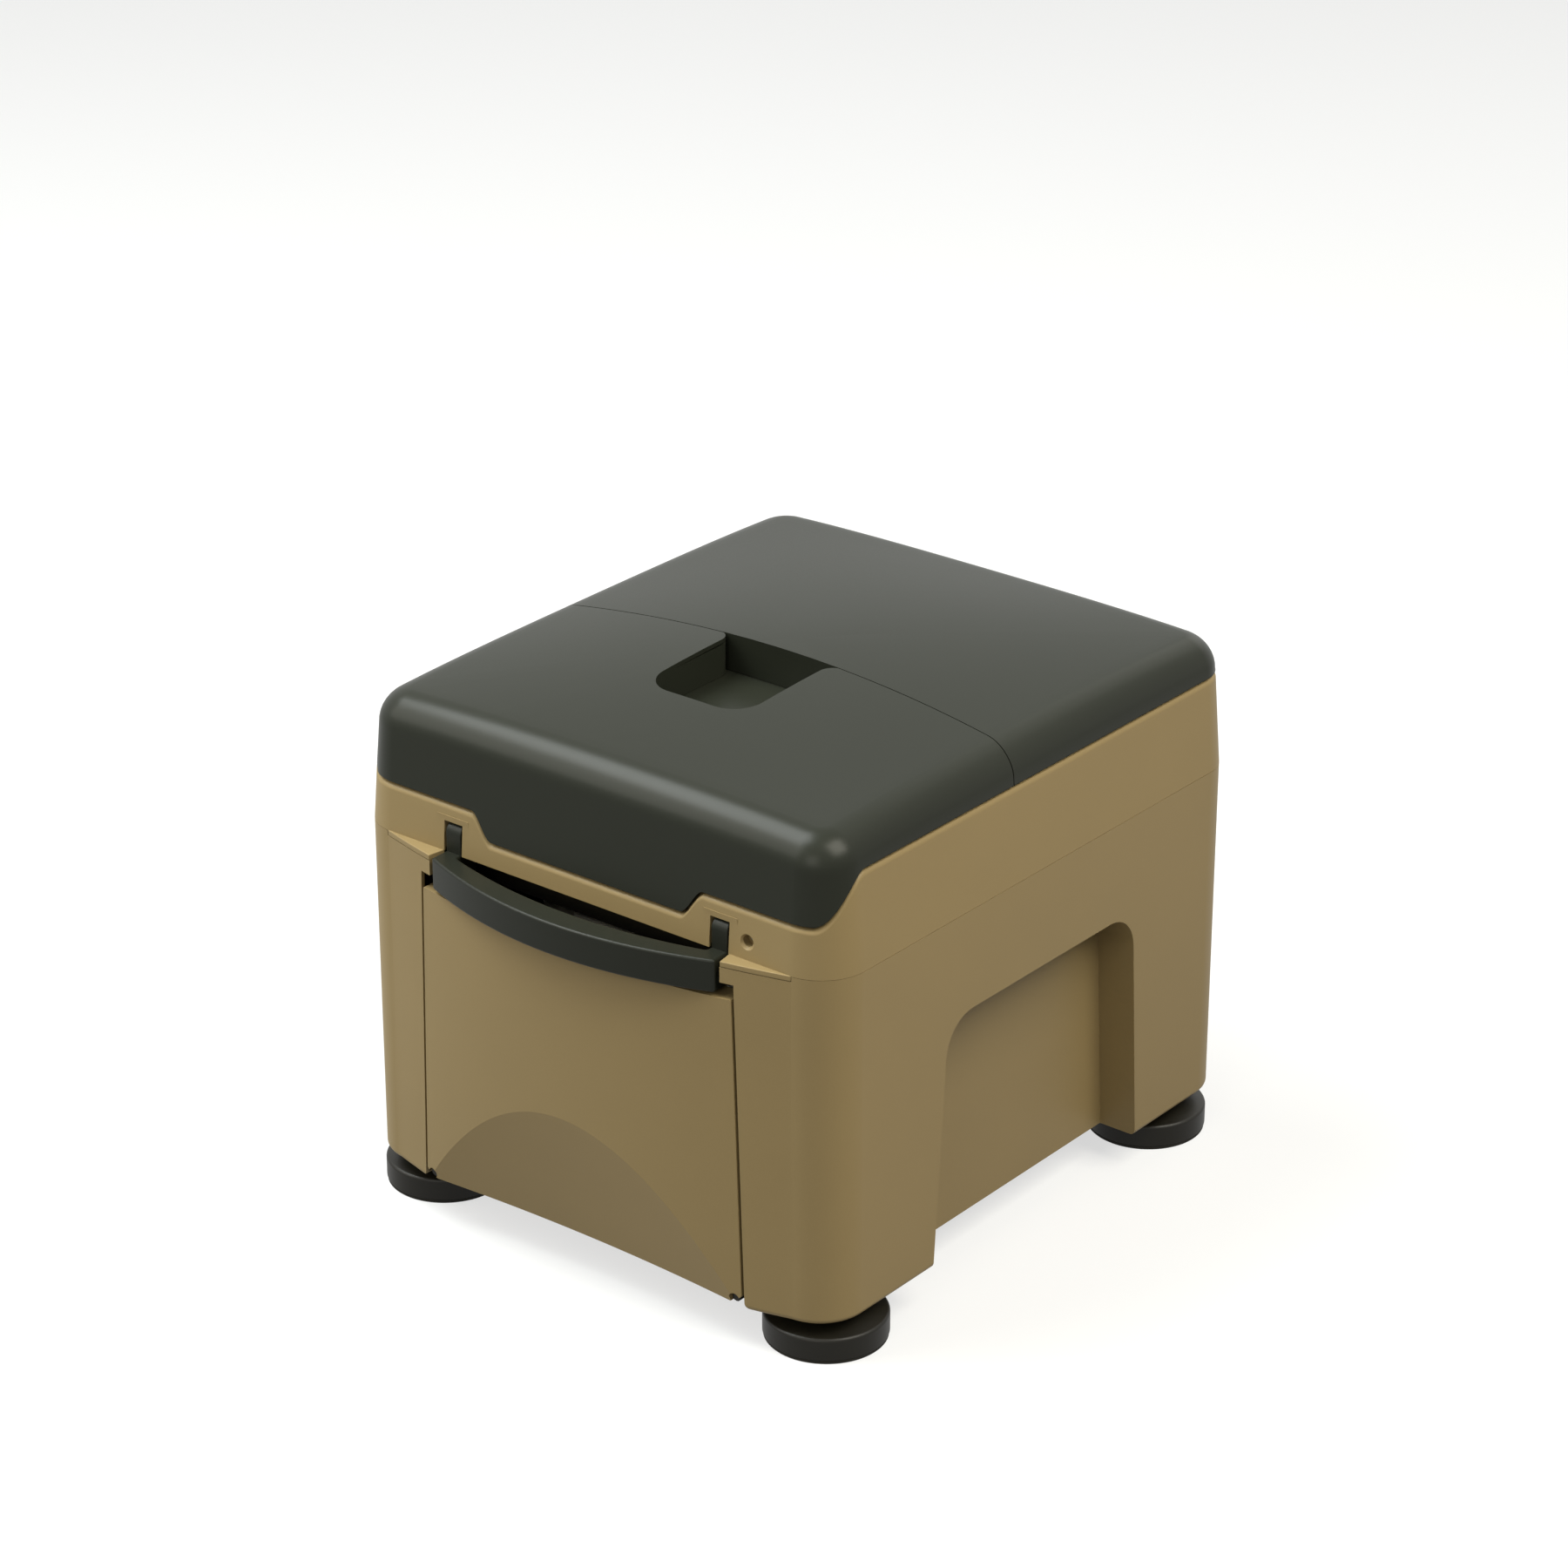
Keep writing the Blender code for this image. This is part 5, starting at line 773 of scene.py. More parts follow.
def seam_line(shift):
    """The seam across the lid: bowed back a little in the middle."""
    reach = HALF_WIDTH + OVERRUN
    end = FRONT_Y + SEAM_SETBACK + shift
    return [(x, bowed(x, HALF_WIDTH, end + SEAM_BOW, end)) for x in spread(-reach, reach, 64)]


def notch_outline(grow):
    """Plan of the finger pocket: open to the seam, with flared mouth corners."""
    half = NOTCH_HALF_WIDTH + grow
    front = FRONT_Y + NOTCH_FRONT_SETBACK - grow
    rear = FRONT_Y + SEAM_SETBACK + SEAM_BOW
    radius, mouth = NOTCH_RADIUS + grow, NOTCH_MOUTH_RADIUS - grow
    return mirrored([*arc((half - radius, front + radius), radius, -90, 0, 18),
                     *arc((half + mouth, rear - mouth), mouth, 180, 90, 12),
                     (half + mouth, rear + OVERRUN)])


def lid_cover_meshes():
    gap = sizes().seam_gap / 2
    reach = HALF_WIDTH + OVERRUN
    low, high = RIM_CENTRE_Z - OVERRUN, LID_EDGE_Z + LID_CROWN + OVERRUN
    behind, ahead = [prism(seam_line(shift) + [(reach, y), (-reach, y)], low, high)
                     for shift, y in ((-gap, REAR_Y + OVERRUN), (gap, FRONT_Y - OVERRUN))]
    foot = PAN_TOP_Z + SEAT_GAP
    inside = crown(0, FRONT_Y + NOTCH_FRONT_SETBACK) - WALL / 2
    pocket = carved(raw("pocket", prism(notch_outline(NOTCH_WALL), foot, inside)),
                    ("-", behind.copy()))
    front = carved(lid_shell("front_lid_cover"), ("-", behind), ("+", pocket),
                   ("-", prism(notch_outline(0.0), PAN_TOP_Z - OVERRUN, high)))

    half = NOTCH_HALF_WIDTH + NOTCH_MOUTH_RADIUS
    seam = [(x, y) for x, y in seam_line(gap) if abs(x) <= half]
    wall = seam + [(x, y + NOTCH_WALL) for x, y in reversed(seam)]
    inside = crown(half, FRONT_Y + SEAM_SETBACK) - WALL / 2
    steps = [("-", ahead), ("+", prism(wall, foot, inside))]
    base = RIM_SIDE_Z + LID_GAP + WALL
    lug = lug_outline(base, base + HINGE_WEB_HEIGHT)
    for x in (-HINGE_X, HINGE_X):
        near, far = x - HINGE_LID_HALF, x + HINGE_LID_HALF
        steps += [("+", prism(lug, near, far, "X")), pin_bore(HINGE_YZ, near, far)]
    return front, carved(lid_shell("rear_lid_cover"), *steps)


# Carry handle

def handle_mesh():
    outer, inner = FRONT_Y - BOW_REACH, FRONT_Y - BOW_INNER_REACH
    outline = [(x, bowed(x, BOW_HALF_LENGTH, outer, outer + BOW_SAG))
               for x in spread(-BOW_HALF_LENGTH, BOW_HALF_LENGTH, 48)]
    outline += [(BOW_HALF_LENGTH, ARM_BACK_Y), (ARM_INNER_X, ARM_BACK_Y)]
    outline += [(x, bowed(x, ARM_INNER_X, inner, inner + BOW_INNER_SAG))
                for x in spread(ARM_INNER_X, -ARM_INNER_X, 48)]
    outline += [(-ARM_INNER_X, ARM_BACK_Y), (-BOW_HALF_LENGTH, ARM_BACK_Y)]
    bow = raw("carry_handle_bow", prism(outline, BOW_BOTTOM_Z, BOW_TOP_Z))
    middle = (BOW_BOTTOM_Z + BOW_TOP_Z) / 2
    profile = [(PIVOT_YZ[0] - ARM_RADIUS, middle), *arc(PIVOT_YZ, ARM_RADIUS, 180, 0, 24),
               (PIVOT_YZ[0] + ARM_RADIUS - SEAT_GAP, middle)]
    steps = []
    for side in (-1, 1):
        low, high = sorted((side * (ARM_INNER_X + SEAT_GAP), side * ARM_OUTER_X))
        arm = raw("arm", prism(profile, low, high, "X"))
        steps += [("+", rounded(arm, ARM_EDGE, 50, 3)), pin_bore(PIVOT_YZ, low, high)]
    return carved(rounded(bow, BOW_EDGE, 50, 4), *steps)


# Drawer front

def heel_prism(grow):
    """The heel recess: a hollow face that leans in towards the floor, moved back by a wall."""
    half = PANEL_BOTTOM_HALF + OVERRUN
    lean = HEEL_DEPTH / (HEEL_TOP_Z - PANEL_BOTTOM_Z)
    low, high = PANEL_BOTTOM_Z - OVERRUN, HEEL_TOP_Z + OVERRUN
    base_y = FRONT_Y - BOW_DEPTH + HEEL_DEPTH + lean * OVERRUN + grow
    points = [(x, bowed(x, PANEL_BOTTOM_HALF, base_y, base_y - HEEL_HOLLOW))
              for x in spread(-half, half, 64)]
    front = FRONT_Y - BOW_DEPTH - 2 * HEEL_DEPTH
    return prism(points + [(half, front), (-half, front)], low, high, "Z", -lean * (high - low))


def panel_hollow():
    """The room behind the panel's wall, which narrows above its lower corners."""
    rings = []
    wide = PANEL_BOTTOM_HALF - PANEL_WALL
    for height, narrowed in ((PANEL_BOTTOM_Z + PANEL_WALL, PANEL_CORNER),
                             (PANEL_BOTTOM_Z + PANEL_CORNER + PANEL_WALL, 0.0),
                             (PANEL_TOP_Z - PANEL_WALL, 0.0)):
        reach = panel_half(height, -PANEL_WALL - narrowed)
        ring = [(x * reach / wide, bow_y(x * reach / wide) + PANEL_WALL, height)
                for x in spread(-wide, wide, 48)]
        rings.append(ring + [(x, PANEL_BACK_Y + OVERRUN, height) for x in (reach, -reach)])
    return carved(raw("hollow", loft(rings)), ("-", heel_prism(PANEL_WALL)))


def drawer_front_mesh():
    half = PANEL_BOTTOM_HALF + OVERRUN
    slab = [(x, bow_y(x)) for x in spread(-half, half, 64)]
    slab += [(half, PANEL_BACK_Y), (-half, PANEL_BACK_Y)]
    panel = raw("drawer_panel", prism(slab, PANEL_BOTTOM_Z - OVERRUN, PANEL_TOP_Z + OVERRUN))
    knee = PANEL_BOTTOM_Z + PANEL_CORNER_HEIGHT
    soft = PANEL_CORNER / 4
    foot = PANEL_BOTTOM_HALF - PANEL_CORNER
    face = filleted([(-foot, PANEL_BOTTOM_Z), (foot, PANEL_BOTTOM_Z), (panel_half(knee), knee),
                     (PANEL_TOP_HALF, PANEL_TOP_Z), (-PANEL_TOP_HALF, PANEL_TOP_Z),
                     (-panel_half(knee), knee)],
                    [soft, soft, soft, LEDGE_EDGE, LEDGE_EDGE, soft], 5)
    near, far = FRONT_Y - BOW_DEPTH - OVERRUN, PANEL_BACK_Y + OVERRUN
    bores = [("-", cylinder((side * GLIDE_X, GLIDE_Z), GLIDE_RADIUS + SEAT_GAP, near, far,
                            "Y", 32)) for side in (-1, 1)]
    return carved(panel, ("&", prism(face, near, far, "Y")), ("-", heel_prism(0.0)),
                  ("-", panel_hollow()), *bores)


# Seat, bowl and pail

def oval_ring(half_width, half_length, height, power=2.0, segments=96):
    """A seat-shaped ring: an ellipse, or squarer with a higher power."""
    points = []
    for c, s in arc((0, 0), 1, 0, 360, segments)[:-1]:
        reach = (abs(c) ** power + abs(s) ** power) ** (-1 / power)
        points.append((half_width * c * reach, SEAT_Y + half_length * s * reach, height))
    return points


def seat_mesh():
    rings = []
    for across, up in SEAT_PROFILE:
        rings.append(oval_ring(
            SEAT_HIGH.x + (SEAT_HOLE_HALF_WIDTH - SEAT_HIGH.x) * across,
            SEAT_HALF_LENGTH + (SEAT_HOLE_HALF_LENGTH - SEAT_HALF_LENGTH) * across,
            SEAT_LOW.z + (SEAT_HIGH.z - SEAT_LOW.z) * up,
            SEAT_SQUARENESS + (2 - SEAT_SQUARENESS) * across))
    return raw("seat_cover", loft(rings, closed=True))


def deck_mesh():
    """The deck that rests on the frame's upstand, with the hole that the bowl hangs in."""
    plan = [station_place(station, UPSTAND_INSET + SEAT_GAP) for station in station_list()]
    room = BOWL_LEDGE + BOWL_WALL + SEAT_GAP
    hole = oval_ring(SEAT_HOLE_HALF_WIDTH + room, SEAT_HOLE_HALF_LENGTH + room, 0)
    return carved(raw("seat_deck_plate", prism(plan, DECK_BOTTOM_Z, DECK_TOP_Z)),
                  ("-", prism([(x, y) for x, y, _ in hole], DECK_BOTTOM_Z - OVERRUN,
                              DECK_TOP_Z + OVERRUN)))


def bowl_mesh():
    """The lift-out bowl: a bellied funnel with a flange over the deck."""
    wide, long = SEAT_HOLE_HALF_WIDTH + BOWL_LEDGE, SEAT_HOLE_HALF_LENGTH + BOWL_LEDGE

    def ring(grow, z, narrowed=0.0):
        return oval_ring(wide + (BOWL_OUTLET_HALF_WIDTH - wide) * narrowed + grow,
                         long + (BOWL_OUTLET_HALF_LENGTH - long) * narrowed + grow, z)

    inner, outer = [], []
    for share in spread(0, 1, 14):
        swell = math.sin(math.pi * min(1.0, share / BOWL_BELLY_END)) ** 2
        narrowed = share - BOWL_BELLY * swell * (1 - share * BOWL_BELLY_FADE)
        z = DECK_BOTTOM_Z - (DECK_BOTTOM_Z - BOWL_OUTLET_Z) * share
        outer.append(ring(BOWL_WALL, z, narrowed))
        inner.append(ring(0.0, z, narrowed))
    low, top = DECK_TOP_Z + SEAT_GAP, BOWL_TOP_Z
    reach = BOWL_WALL + BOWL_FLANGE_WIDTH
    soft = (top - low) / 3
    under = [ring(reach, low + soft), ring(reach - soft, low), ring(BOWL_WALL, low)]
    over = [ring(0.0, top - soft), ring(soft, top), ring(reach - soft, top),
            ring(reach, top - soft)]
    return raw("splash_bowl", loft(under + outer + inner[::-1] + over, closed=True))


def pail_mesh():
    low, high = PAIL_LOW.z, PAIL_HIGH.z
    top_w = PAIL_HIGH.x - PAIL_FLANGE
    top_l = PAIL_HIGH.y - PAIL_Y - PAIL_FLANGE - PAIL_GRIP_REACH

    def ring(grow, z, corner=PAIL_CORNER):
        w, l = top_w + grow, top_l + grow
        points = filleted([(-w, -l), (w, -l), (w, l), (-w, l)], [corner] * 4, 12)
        return [(x, PAIL_Y + y, z) for x, y in points]

    edge, wall, brim = PAIL_FOOT_EDGE, PAIL_WALL, PAIL_CORNER + PAIL_FLANGE
    rings = [ring(-PAIL_TAPER - draw, z, PAIL_CORNER - draw)
             for draw, z in arc((edge, low + edge), edge, -90, -180, 3)]
    rings += [ring(0.0, high - PAIL_FLANGE), ring(PAIL_FLANGE, high - PAIL_FLANGE, brim),
              ring(PAIL_FLANGE, high, brim), ring(-wall, high, PAIL_CORNER - wall)]
    rings += [ring(-PAIL_TAPER - draw, z, PAIL_CORNER - draw)
              for draw, z in arc((edge + wall, low + wall + edge), edge, -180, -90, 3)]
    steps = []
    for sign in (-1, 1):
        outer = PAIL_Y + sign * (top_l + PAIL_FLANGE + PAIL_GRIP_REACH)
        inner = PAIL_Y + sign * (top_l + PAIL_FLANGE / 2)
        grip = filleted([(-PAIL_GRIP_HALF, inner), (PAIL_GRIP_HALF, inner),
                         (PAIL_GRIP_HALF, outer), (-PAIL_GRIP_HALF, outer)][::sign],
                        [0, 0, PAIL_FLANGE, PAIL_FLANGE][::sign], 8)
        steps.append(("+", prism(grip, high - PAIL_FLANGE + SEAT_GAP, high - SEAT_GAP)))
    return carved(raw("pail_shell", loft(rings)), *steps)


# Feet

def foot_disc(centre, low, high):
    """A disc with a rounded rim, a hollow shoulder and a hub with a blind bore."""
    bore = STUD_RADIUS + SEAT_GAP
    points = [(0, low), (FOOT_RADIUS, low), (FOOT_RADIUS, FOOT_RIM_Z), FOOT_SHOULDER,
              (FOOT_HUB_RADIUS, high), (bore, high), (bore, FOOT_BORE_Z), (0, FOOT_BORE_Z)]
    return turned(filleted(points, FOOT_ROUNDINGS), centre, 128)


def foot_pad(centre, low, high):
    """A rubber pad with tread grooves under it."""
    radius = FOOT_RADIUS - PAD_INSET
    points = [(0, low)]
    for start in TREAD_RADII:
        floor = start + TREAD_SLOPE
        points += [(start, low), (floor, low + TREAD_DEPTH),
                   (floor + TREAD_WIDTH, low + TREAD_DEPTH),
                   (floor + TREAD_WIDTH + TREAD_SLOPE, low)]
    points += [(radius - PAD_EDGE, low), (radius, low + PAD_EDGE), (radius, high), (0, high)]
    return turned(points, centre, 96)


# Node trees

class Term:
    """A socket of a node tree that takes part in sums. Each sign adds a Math node."""

    def __init__(self, nodes, socket):
        self.nodes = nodes
        self.socket = socket

    def sum(self, operation, first, second):
        return self.nodes.add("ShaderNodeMath", {"operation": operation}, {0: first, 1: second})

    def __add__(self, other):
        return self.sum("ADD", self, other)

    __radd__ = __add__

    def __sub__(self, other):
        return self.sum("SUBTRACT", self, other)

    def __rsub__(self, other):
        return self.sum("SUBTRACT", other, self)

    def __mul__(self, other):
        return self.sum("MULTIPLY", self, other)

    __rmul__ = __mul__

    def __truediv__(self, other):
        return self.sum("DIVIDE", self, other)

    def __rtruediv__(self, other):
        return self.sum("DIVIDE", other, self)

    def most(self, other):
        return self.sum("MAXIMUM", self, other)

    def between(self, low, high):
        """0 below low, 1 above high."""
        return self.nodes.add("ShaderNodeMapRange", {"interpolation_type": "SMOOTHSTEP"},
                              {"Value": self, "From Min": low, "From Max": high})


class Nodes:
    """A node tree that is filled by one method."""

    def __init__(self, tree):
        self.tree = tree

    def add(self, kind, settings=None, inputs=None, output=0):
        """A node of a type, its settings first, then the values or links of its sockets."""
        node = self.tree.nodes.new(kind)
        for name, value in (settings or {}).items():
            setattr(node, name, value)
        for name, value in (inputs or {}).items():
            self.feed(node.inputs[name], value)
        return Term(self, node.outputs[output])

    def feed(self, socket, value):
        if isinstance(value, (Term, list)):
            for term in value if isinstance(value, list) else [value]:
                self.tree.links.new(term.socket, socket)
        else:
            socket.default_value = value

    def seen(self):
        """1 for what the camera, a reflection or a clear piece shows, 0 for light on surfaces."""
        camera, glossy, clear = [self.add("ShaderNodeLightPath", output=f"Is {kind} Ray")
                                 for kind in ("Camera", "Glossy", "Transmission")]
        return camera.most(glossy).most(clear)


# Finishes

class Finish(Nodes):
    """A material whose Principled shader is fed by terms."""

    def __init__(self, name, roughness, metallic=0.0, specular=0.5):
        self.material = bpy.data.materials.new(name)
        self.material.use_nodes = True
        super().__init__(self.material.node_tree)
        self.shader = self.tree.nodes["Principled BSDF"]
        self.set("Roughness", roughness)
        self.set("Metallic", metallic)
        self.set("Specular IOR Level", specular)
        self.place = self.add("ShaderNodeTexCoord", output="Object")

    def set(self, name, value):
        self.feed(self.shader.inputs[name], value)

    def noise(self, scale, detail=2.0, rough=0.5, place=None):
        return self.add("ShaderNodeTexNoise", inputs={
            "Vector": place or self.place, "Scale": scale, "Detail": detail, "Roughness": rough})

    def stretched(self, x, y, z):
        return self.add("ShaderNodeMapping", inputs={"Vector": self.place, "Scale": (x, y, z)})

    def blend(self, share, first, second):
        return self.add("ShaderNodeMix", {"data_type": "RGBA"}, {0: share, 6: first, 7: second},
                        output=2)

    def bump(self, height, distance, strength):
        self.set("Normal", self.add("ShaderNodeBump", inputs={
            "Height": height, "Distance": distance, "Strength": strength}))

    def painted_pocket_shade_share(self):
        """1 where painted shade goes: the hand pocket under the apron, painted near black, and the rear wall level
        with it; 0 elsewhere.
        """
        across, back, up = [self.add("ShaderNodeSeparateXYZ", inputs={0: self.place}, output=name)
                            for name in "XYZ"]
        edge = POCKET_EDGE
        return ((1 - (across * across).between(POCKET_HALF_WIDTH ** 2,
                                               (POCKET_HALF_WIDTH + edge) ** 2))
                * back.between(FRONT_Y + edge, FRONT_Y + 3 * edge)
                * up.between(POCKET_BOTTOM_Z - edge, POCKET_BOTTOM_Z)
                * (1 - up.between(PARTING_Z + edge, PARTING_Z + 3 * edge)))


def tinted(colour, factor):
    return tuple(min(1.0, channel * factor) for channel in colour[:3]) + (1.0,)


def moulded_plastic(name, colour, roughness, specular, grain=0.00004, pocket=None):
    """Satin moulded plastic: a fine spark-eroded grain and a slow change of tone and gloss, with an optional
    painted shade that darkens the hand pocket.
    """
    finish = Finish(name, roughness, specular=specular)
    tone = finish.noise(7.0, 3.0, 0.55)
    speck = finish.noise(945.0, 2.0)
    share = (tone - 0.5) * 1.1 + (speck - 0.5) * 0.5 + 0.5
    shade = finish.blend(share, tinted(colour, 0.94), tinted(colour, 1.06))
    # Painted shade: the hand pocket under the apron is painted near black with the pocket colour
    if pocket:
        shade = finish.blend(finish.painted_pocket_shade_share(), shade, pocket)
    finish.set("Base Color", shade)
    finish.set("Roughness", roughness + (tone - 0.5) * 0.06 + (speck - 0.5) * 0.08)
    finish.bump(finish.noise(2100.0, 3.0, 0.6) + finish.noise(11.0, 1.0) * 0.6, grain, 0.5)
    return finish.material


def smooth_plastic(name, colour, roughness):
    """Wipe-clean plastic with a slight waviness and faint rubbed patches."""
    finish = Finish(name, roughness)
    cloud = finish.noise(14.0, 4.0, 0.6)
    rub = finish.noise(160.0, 2.0, 0.5, finish.stretched(1.0, 0.2, 1.0))
    finish.set("Base Color", finish.blend(cloud, tinted(colour, 0.95), tinted(colour, 1.04)))
    finish.set("Roughness", roughness + (cloud - 0.5) * 0.1 + (rub - 0.5) * 0.08)
    finish.bump(finish.noise(900.0, 2.0), 0.00002, 0.4)
    return finish.material


def soft_rubber(name, colour):
    """Matt rubber, dusty in the low places of its skin."""
    finish = Finish(name, 0.8, specular=0.3)
    dust = finish.noise(60.0, 4.0, 0.65)
    finish.set("Base Color", finish.blend(dust.between(0.4, 0.8), tinted(colour, 0.9),
                                          tinted(colour, 1.7)))
    finish.set("Roughness", 0.72 + dust * 0.16)
    finish.bump(finish.noise(1500.0, 3.0, 0.6), 0.00006, 0.6)
    return finish.material


def plated_steel(name):
    """Zinc plated steel: cloudy plating with fine drawn lines."""
    finish = Finish(name, 0.3, metallic=1.0)
    cloud = finish.noise(240.0, 3.0, 0.6)
    lines = finish.noise(1200.0, 2.0, 0.5, finish.stretched(1.0, 1.0, 0.08))
    finish.set("Base Color", finish.blend(cloud, (0.5, 0.5, 0.49, 1.0), (0.66, 0.65, 0.62, 1.0)))
    finish.set("Roughness", 0.24 + cloud * 0.16 + lines * 0.06)
    finish.bump(lines, 0.00002, 0.5)
    return finish.material


def finish_for(key):
    """The finish of a material slot or of a piece that differs from its slot, made once."""
    name = f"{key}_finish"
    if name in bpy.data.materials:
        return bpy.data.materials[name]
    tint = bpy.context.scene.potty_colours
    if key == "stone_plastic":
        return smooth_plastic(name, tint.seat, 0.32)
    if key == "black_rubber":
        return soft_rubber(name, tint.feet)
    if key == "plated_steel":
        return plated_steel(name)
    plastics = {
        # The housing's last value is the painted shade colour of its hand pocket, a darkened feet black
        "housing_plastic": (tint.housing, 0.44, 0.2, 0.00004, tinted(tint.feet, 0.4)),
        "tan_plastic": (tint.housing, 0.44, 0.2),
        "charcoal_plastic": (tint.lid, 0.32, 0.155, 0.00002),
        "handle_plastic": (tinted(tint.lid, 0.8), 0.36, 0.16, 0.00003),
        "black_plastic": (tint.feet, 0.42, 0.25)}
    return moulded_plastic(name, *plastics[key])


# Geometry Nodes for what repeats

class Pattern(Nodes):
    """A Geometry Nodes tree that takes named sizes and sets its shapes at every point."""

    def __init__(self, name):
        super().__init__(bpy.data.node_groups.new(name, "GeometryNodeTree"))
        for way in ("INPUT", "OUTPUT"):
            self.tree.interface.new_socket("Geometry", in_out=way,
                                           socket_type="NodeSocketGeometry")
        self.start = self.tree.nodes.new("NodeGroupInput")
        self.values = {}

    def size(self, name, value):
        socket = self.tree.interface.new_socket(name, in_out="INPUT",
                                                socket_type="NodeSocketFloat")
        self.values[socket.identifier] = value
        return Term(self, self.start.outputs[name])

    def vector(self, **axes):
        return self.add("ShaderNodeCombineXYZ", inputs=axes)

    def joined(self, *shapes):
        return self.add("GeometryNodeJoinGeometry", inputs={0: list(shapes)})

    def moved(self, shape, height, turn=0.0):
        """A shape raised by a height and turned about z."""
        return self.add("GeometryNodeTransform", inputs={
            "Geometry": shape, "Translation": self.vector(Z=height), "Rotation": (0, 0, turn)})

    def rod(self, radius, length, vertices, height):
        rod = self.add("GeometryNodeMeshCylinder", {"fill_type": "NGON"}, {
            "Vertices": vertices, "Radius": radius, "Depth": length})
        return self.moved(rod, height)

    def made(self, shape, places, turn, finish):
        """Set the shape at places, turned, and keep the result as a plain mesh."""
        points = self.add("GeometryNodeMeshToPoints", inputs={
            0: Term(self, self.start.outputs[0])})
        copies = self.add("GeometryNodeInstanceOnPoints", inputs={
            "Points": points, "Instance": shape, "Rotation": turn})
        real = self.add("GeometryNodeRealizeInstances", inputs={0: copies})
        done = self.add("GeometryNodeSetMaterial", inputs={"Geometry": real, "Material": finish})
        self.feed(self.tree.nodes.new("NodeGroupOutput").inputs[0], done)
        mesh = bpy.data.meshes.new("points")
        mesh.from_pydata([tuple(place) for place in places], [], [])
        obj = raw(self.tree.name, mesh)
        modifier = obj.modifiers.new("pattern", "NODES")
        modifier.node_group = self.tree
        for identifier, value in self.values.items():
            modifier[identifier] = value
        return settled(obj)


def screws(name, places, turn, length):
    """Cross-recessed pan-head screws at places, their heads turned to face outwards."""
    tree = Pattern(name)
    head = tree.size("Head radius", SCREW_HEAD_RADIUS)
    height = tree.size("Head height", SCREW_HEAD_HEIGHT)
    shank = tree.size("Shank radius", SCREW_SHANK_RADIUS)
    reach = tree.size("Length", length)
    barrel = tree.add("GeometryNodeMeshCone", {"fill_type": "NGON"}, {
        "Vertices": 24, "Radius Top": head * SCREW_TOP_SHARE, "Radius Bottom": head,
        "Depth": height})
    slot = tree.add("GeometryNodeMeshCube", inputs={
        "Size": tree.vector(X=head * SCREW_SLOT_LENGTH_SHARE, Y=head * SCREW_SLOT_WIDTH_SHARE,
                            Z=height)})
    cross = tree.joined(*(tree.moved(slot, height * SCREW_SLOT_RAISE_SHARE, angle)
                          for angle in (SCREW_SLOT_TURN, SCREW_SLOT_TURN + math.pi / 2)))
    recessed = tree.add("GeometryNodeMeshBoolean", {"operation": "DIFFERENCE", "solver": "EXACT"},
                        {"Mesh 1": barrel, "Mesh 2": cross})
    whole = tree.joined(recessed, tree.rod(shank, reach, 16, reach * -0.5))
    return tree.made(whole, places, turn, finish_for("plated_steel"))


def stud_thread(name, centre, low, high):
    """A stud with a rolled thread: a spiral ridge swept round a plain core."""
    tree = Pattern(name)
    core = tree.size("Core radius", STUD_RADIUS - THREAD_DEPTH)
    pitch = tree.size("Pitch", sizes().thread_pitch)
    length = tree.size("Length", high - low)
    spiral = tree.add("GeometryNodeCurveSpiral", inputs={
        "Resolution": 24, "Rotations": length / pitch, "Start Radius": core, "End Radius": core,
        "Height": length})
    ridge = tree.add("GeometryNodeCurvePrimitiveCircle", inputs={
        "Resolution": 6, "Radius": pitch * THREAD_RIDGE_SHARE})
    thread = tree.add("GeometryNodeCurveToMesh", inputs={
        "Curve": spiral, "Profile Curve": ridge, "Fill Caps": True})
    whole = tree.joined(thread, tree.rod(core, length, 32, length * 0.5))
    return tree.made(whole, [(*centre, low)], (0.0, 0.0, 0.0), finish_for("plated_steel"))


# Operators

class PieceOperator:
    """What every operator here has in common."""

    bl_options = {"REGISTER", "UNDO"}


class POTTY_OT_housing(PieceOperator, bpy.types.Operator):
    """Build the lower housing and the upper frame."""

    bl_idname = "potty.housing"
    bl_label = "Housing"

    def execute(self, context):
        for made, width, segments, node in (
                (lower_body_mesh(), sizes().recess_round, 4, "lower_body"),
                (upper_frame_mesh(), FRAME_EDGE, 2, "upper_frame")):
            # The housing's finish carries painted shade: its hand pocket is painted near black
            dressed(softened(made, width, 40, segments), "housing", "tan_plastic", node,
                    look="housing_plastic")
        return {"FINISHED"}


class POTTY_OT_lid(PieceOperator, bpy.types.Operator):
    """Build the two lid covers with their seam and finger pocket."""

    bl_idname = "potty.lid"
    bl_label = "Lid covers"

    def execute(self, context):
        for cover, node in zip(lid_cover_meshes(), ("front_lid", "rear_lid")):
            dressed(softened(cover), "lid", "charcoal_plastic", node)
        return {"FINISHED"}


class POTTY_OT_handle(PieceOperator, bpy.types.Operator):
    """Build the bow-shaped carry handle."""

    bl_idname = "potty.handle"
    bl_label = "Carry handle"

    def execute(self, context):
        dressed(shaded(handle_mesh()), "handle", "charcoal_plastic", "carry_handle",
                look="handle_plastic")
        return {"FINISHED"}


class POTTY_OT_drawer(PieceOperator, bpy.types.Operator):
    """Build the drawer's front and the waste pail."""

    bl_idname = "potty.drawer"
    bl_label = "Drawer"

    def execute(self, context):
        panel = softened(drawer_front_mesh(), sizes().edge_round, HEEL_CREASE, 3)
        dressed(panel, "drawer", "tan_plastic", "drawer_front")
        dressed(softened(pail_mesh()), "drawer", "stone_plastic", "waste_pail")
        return {"FINISHED"}


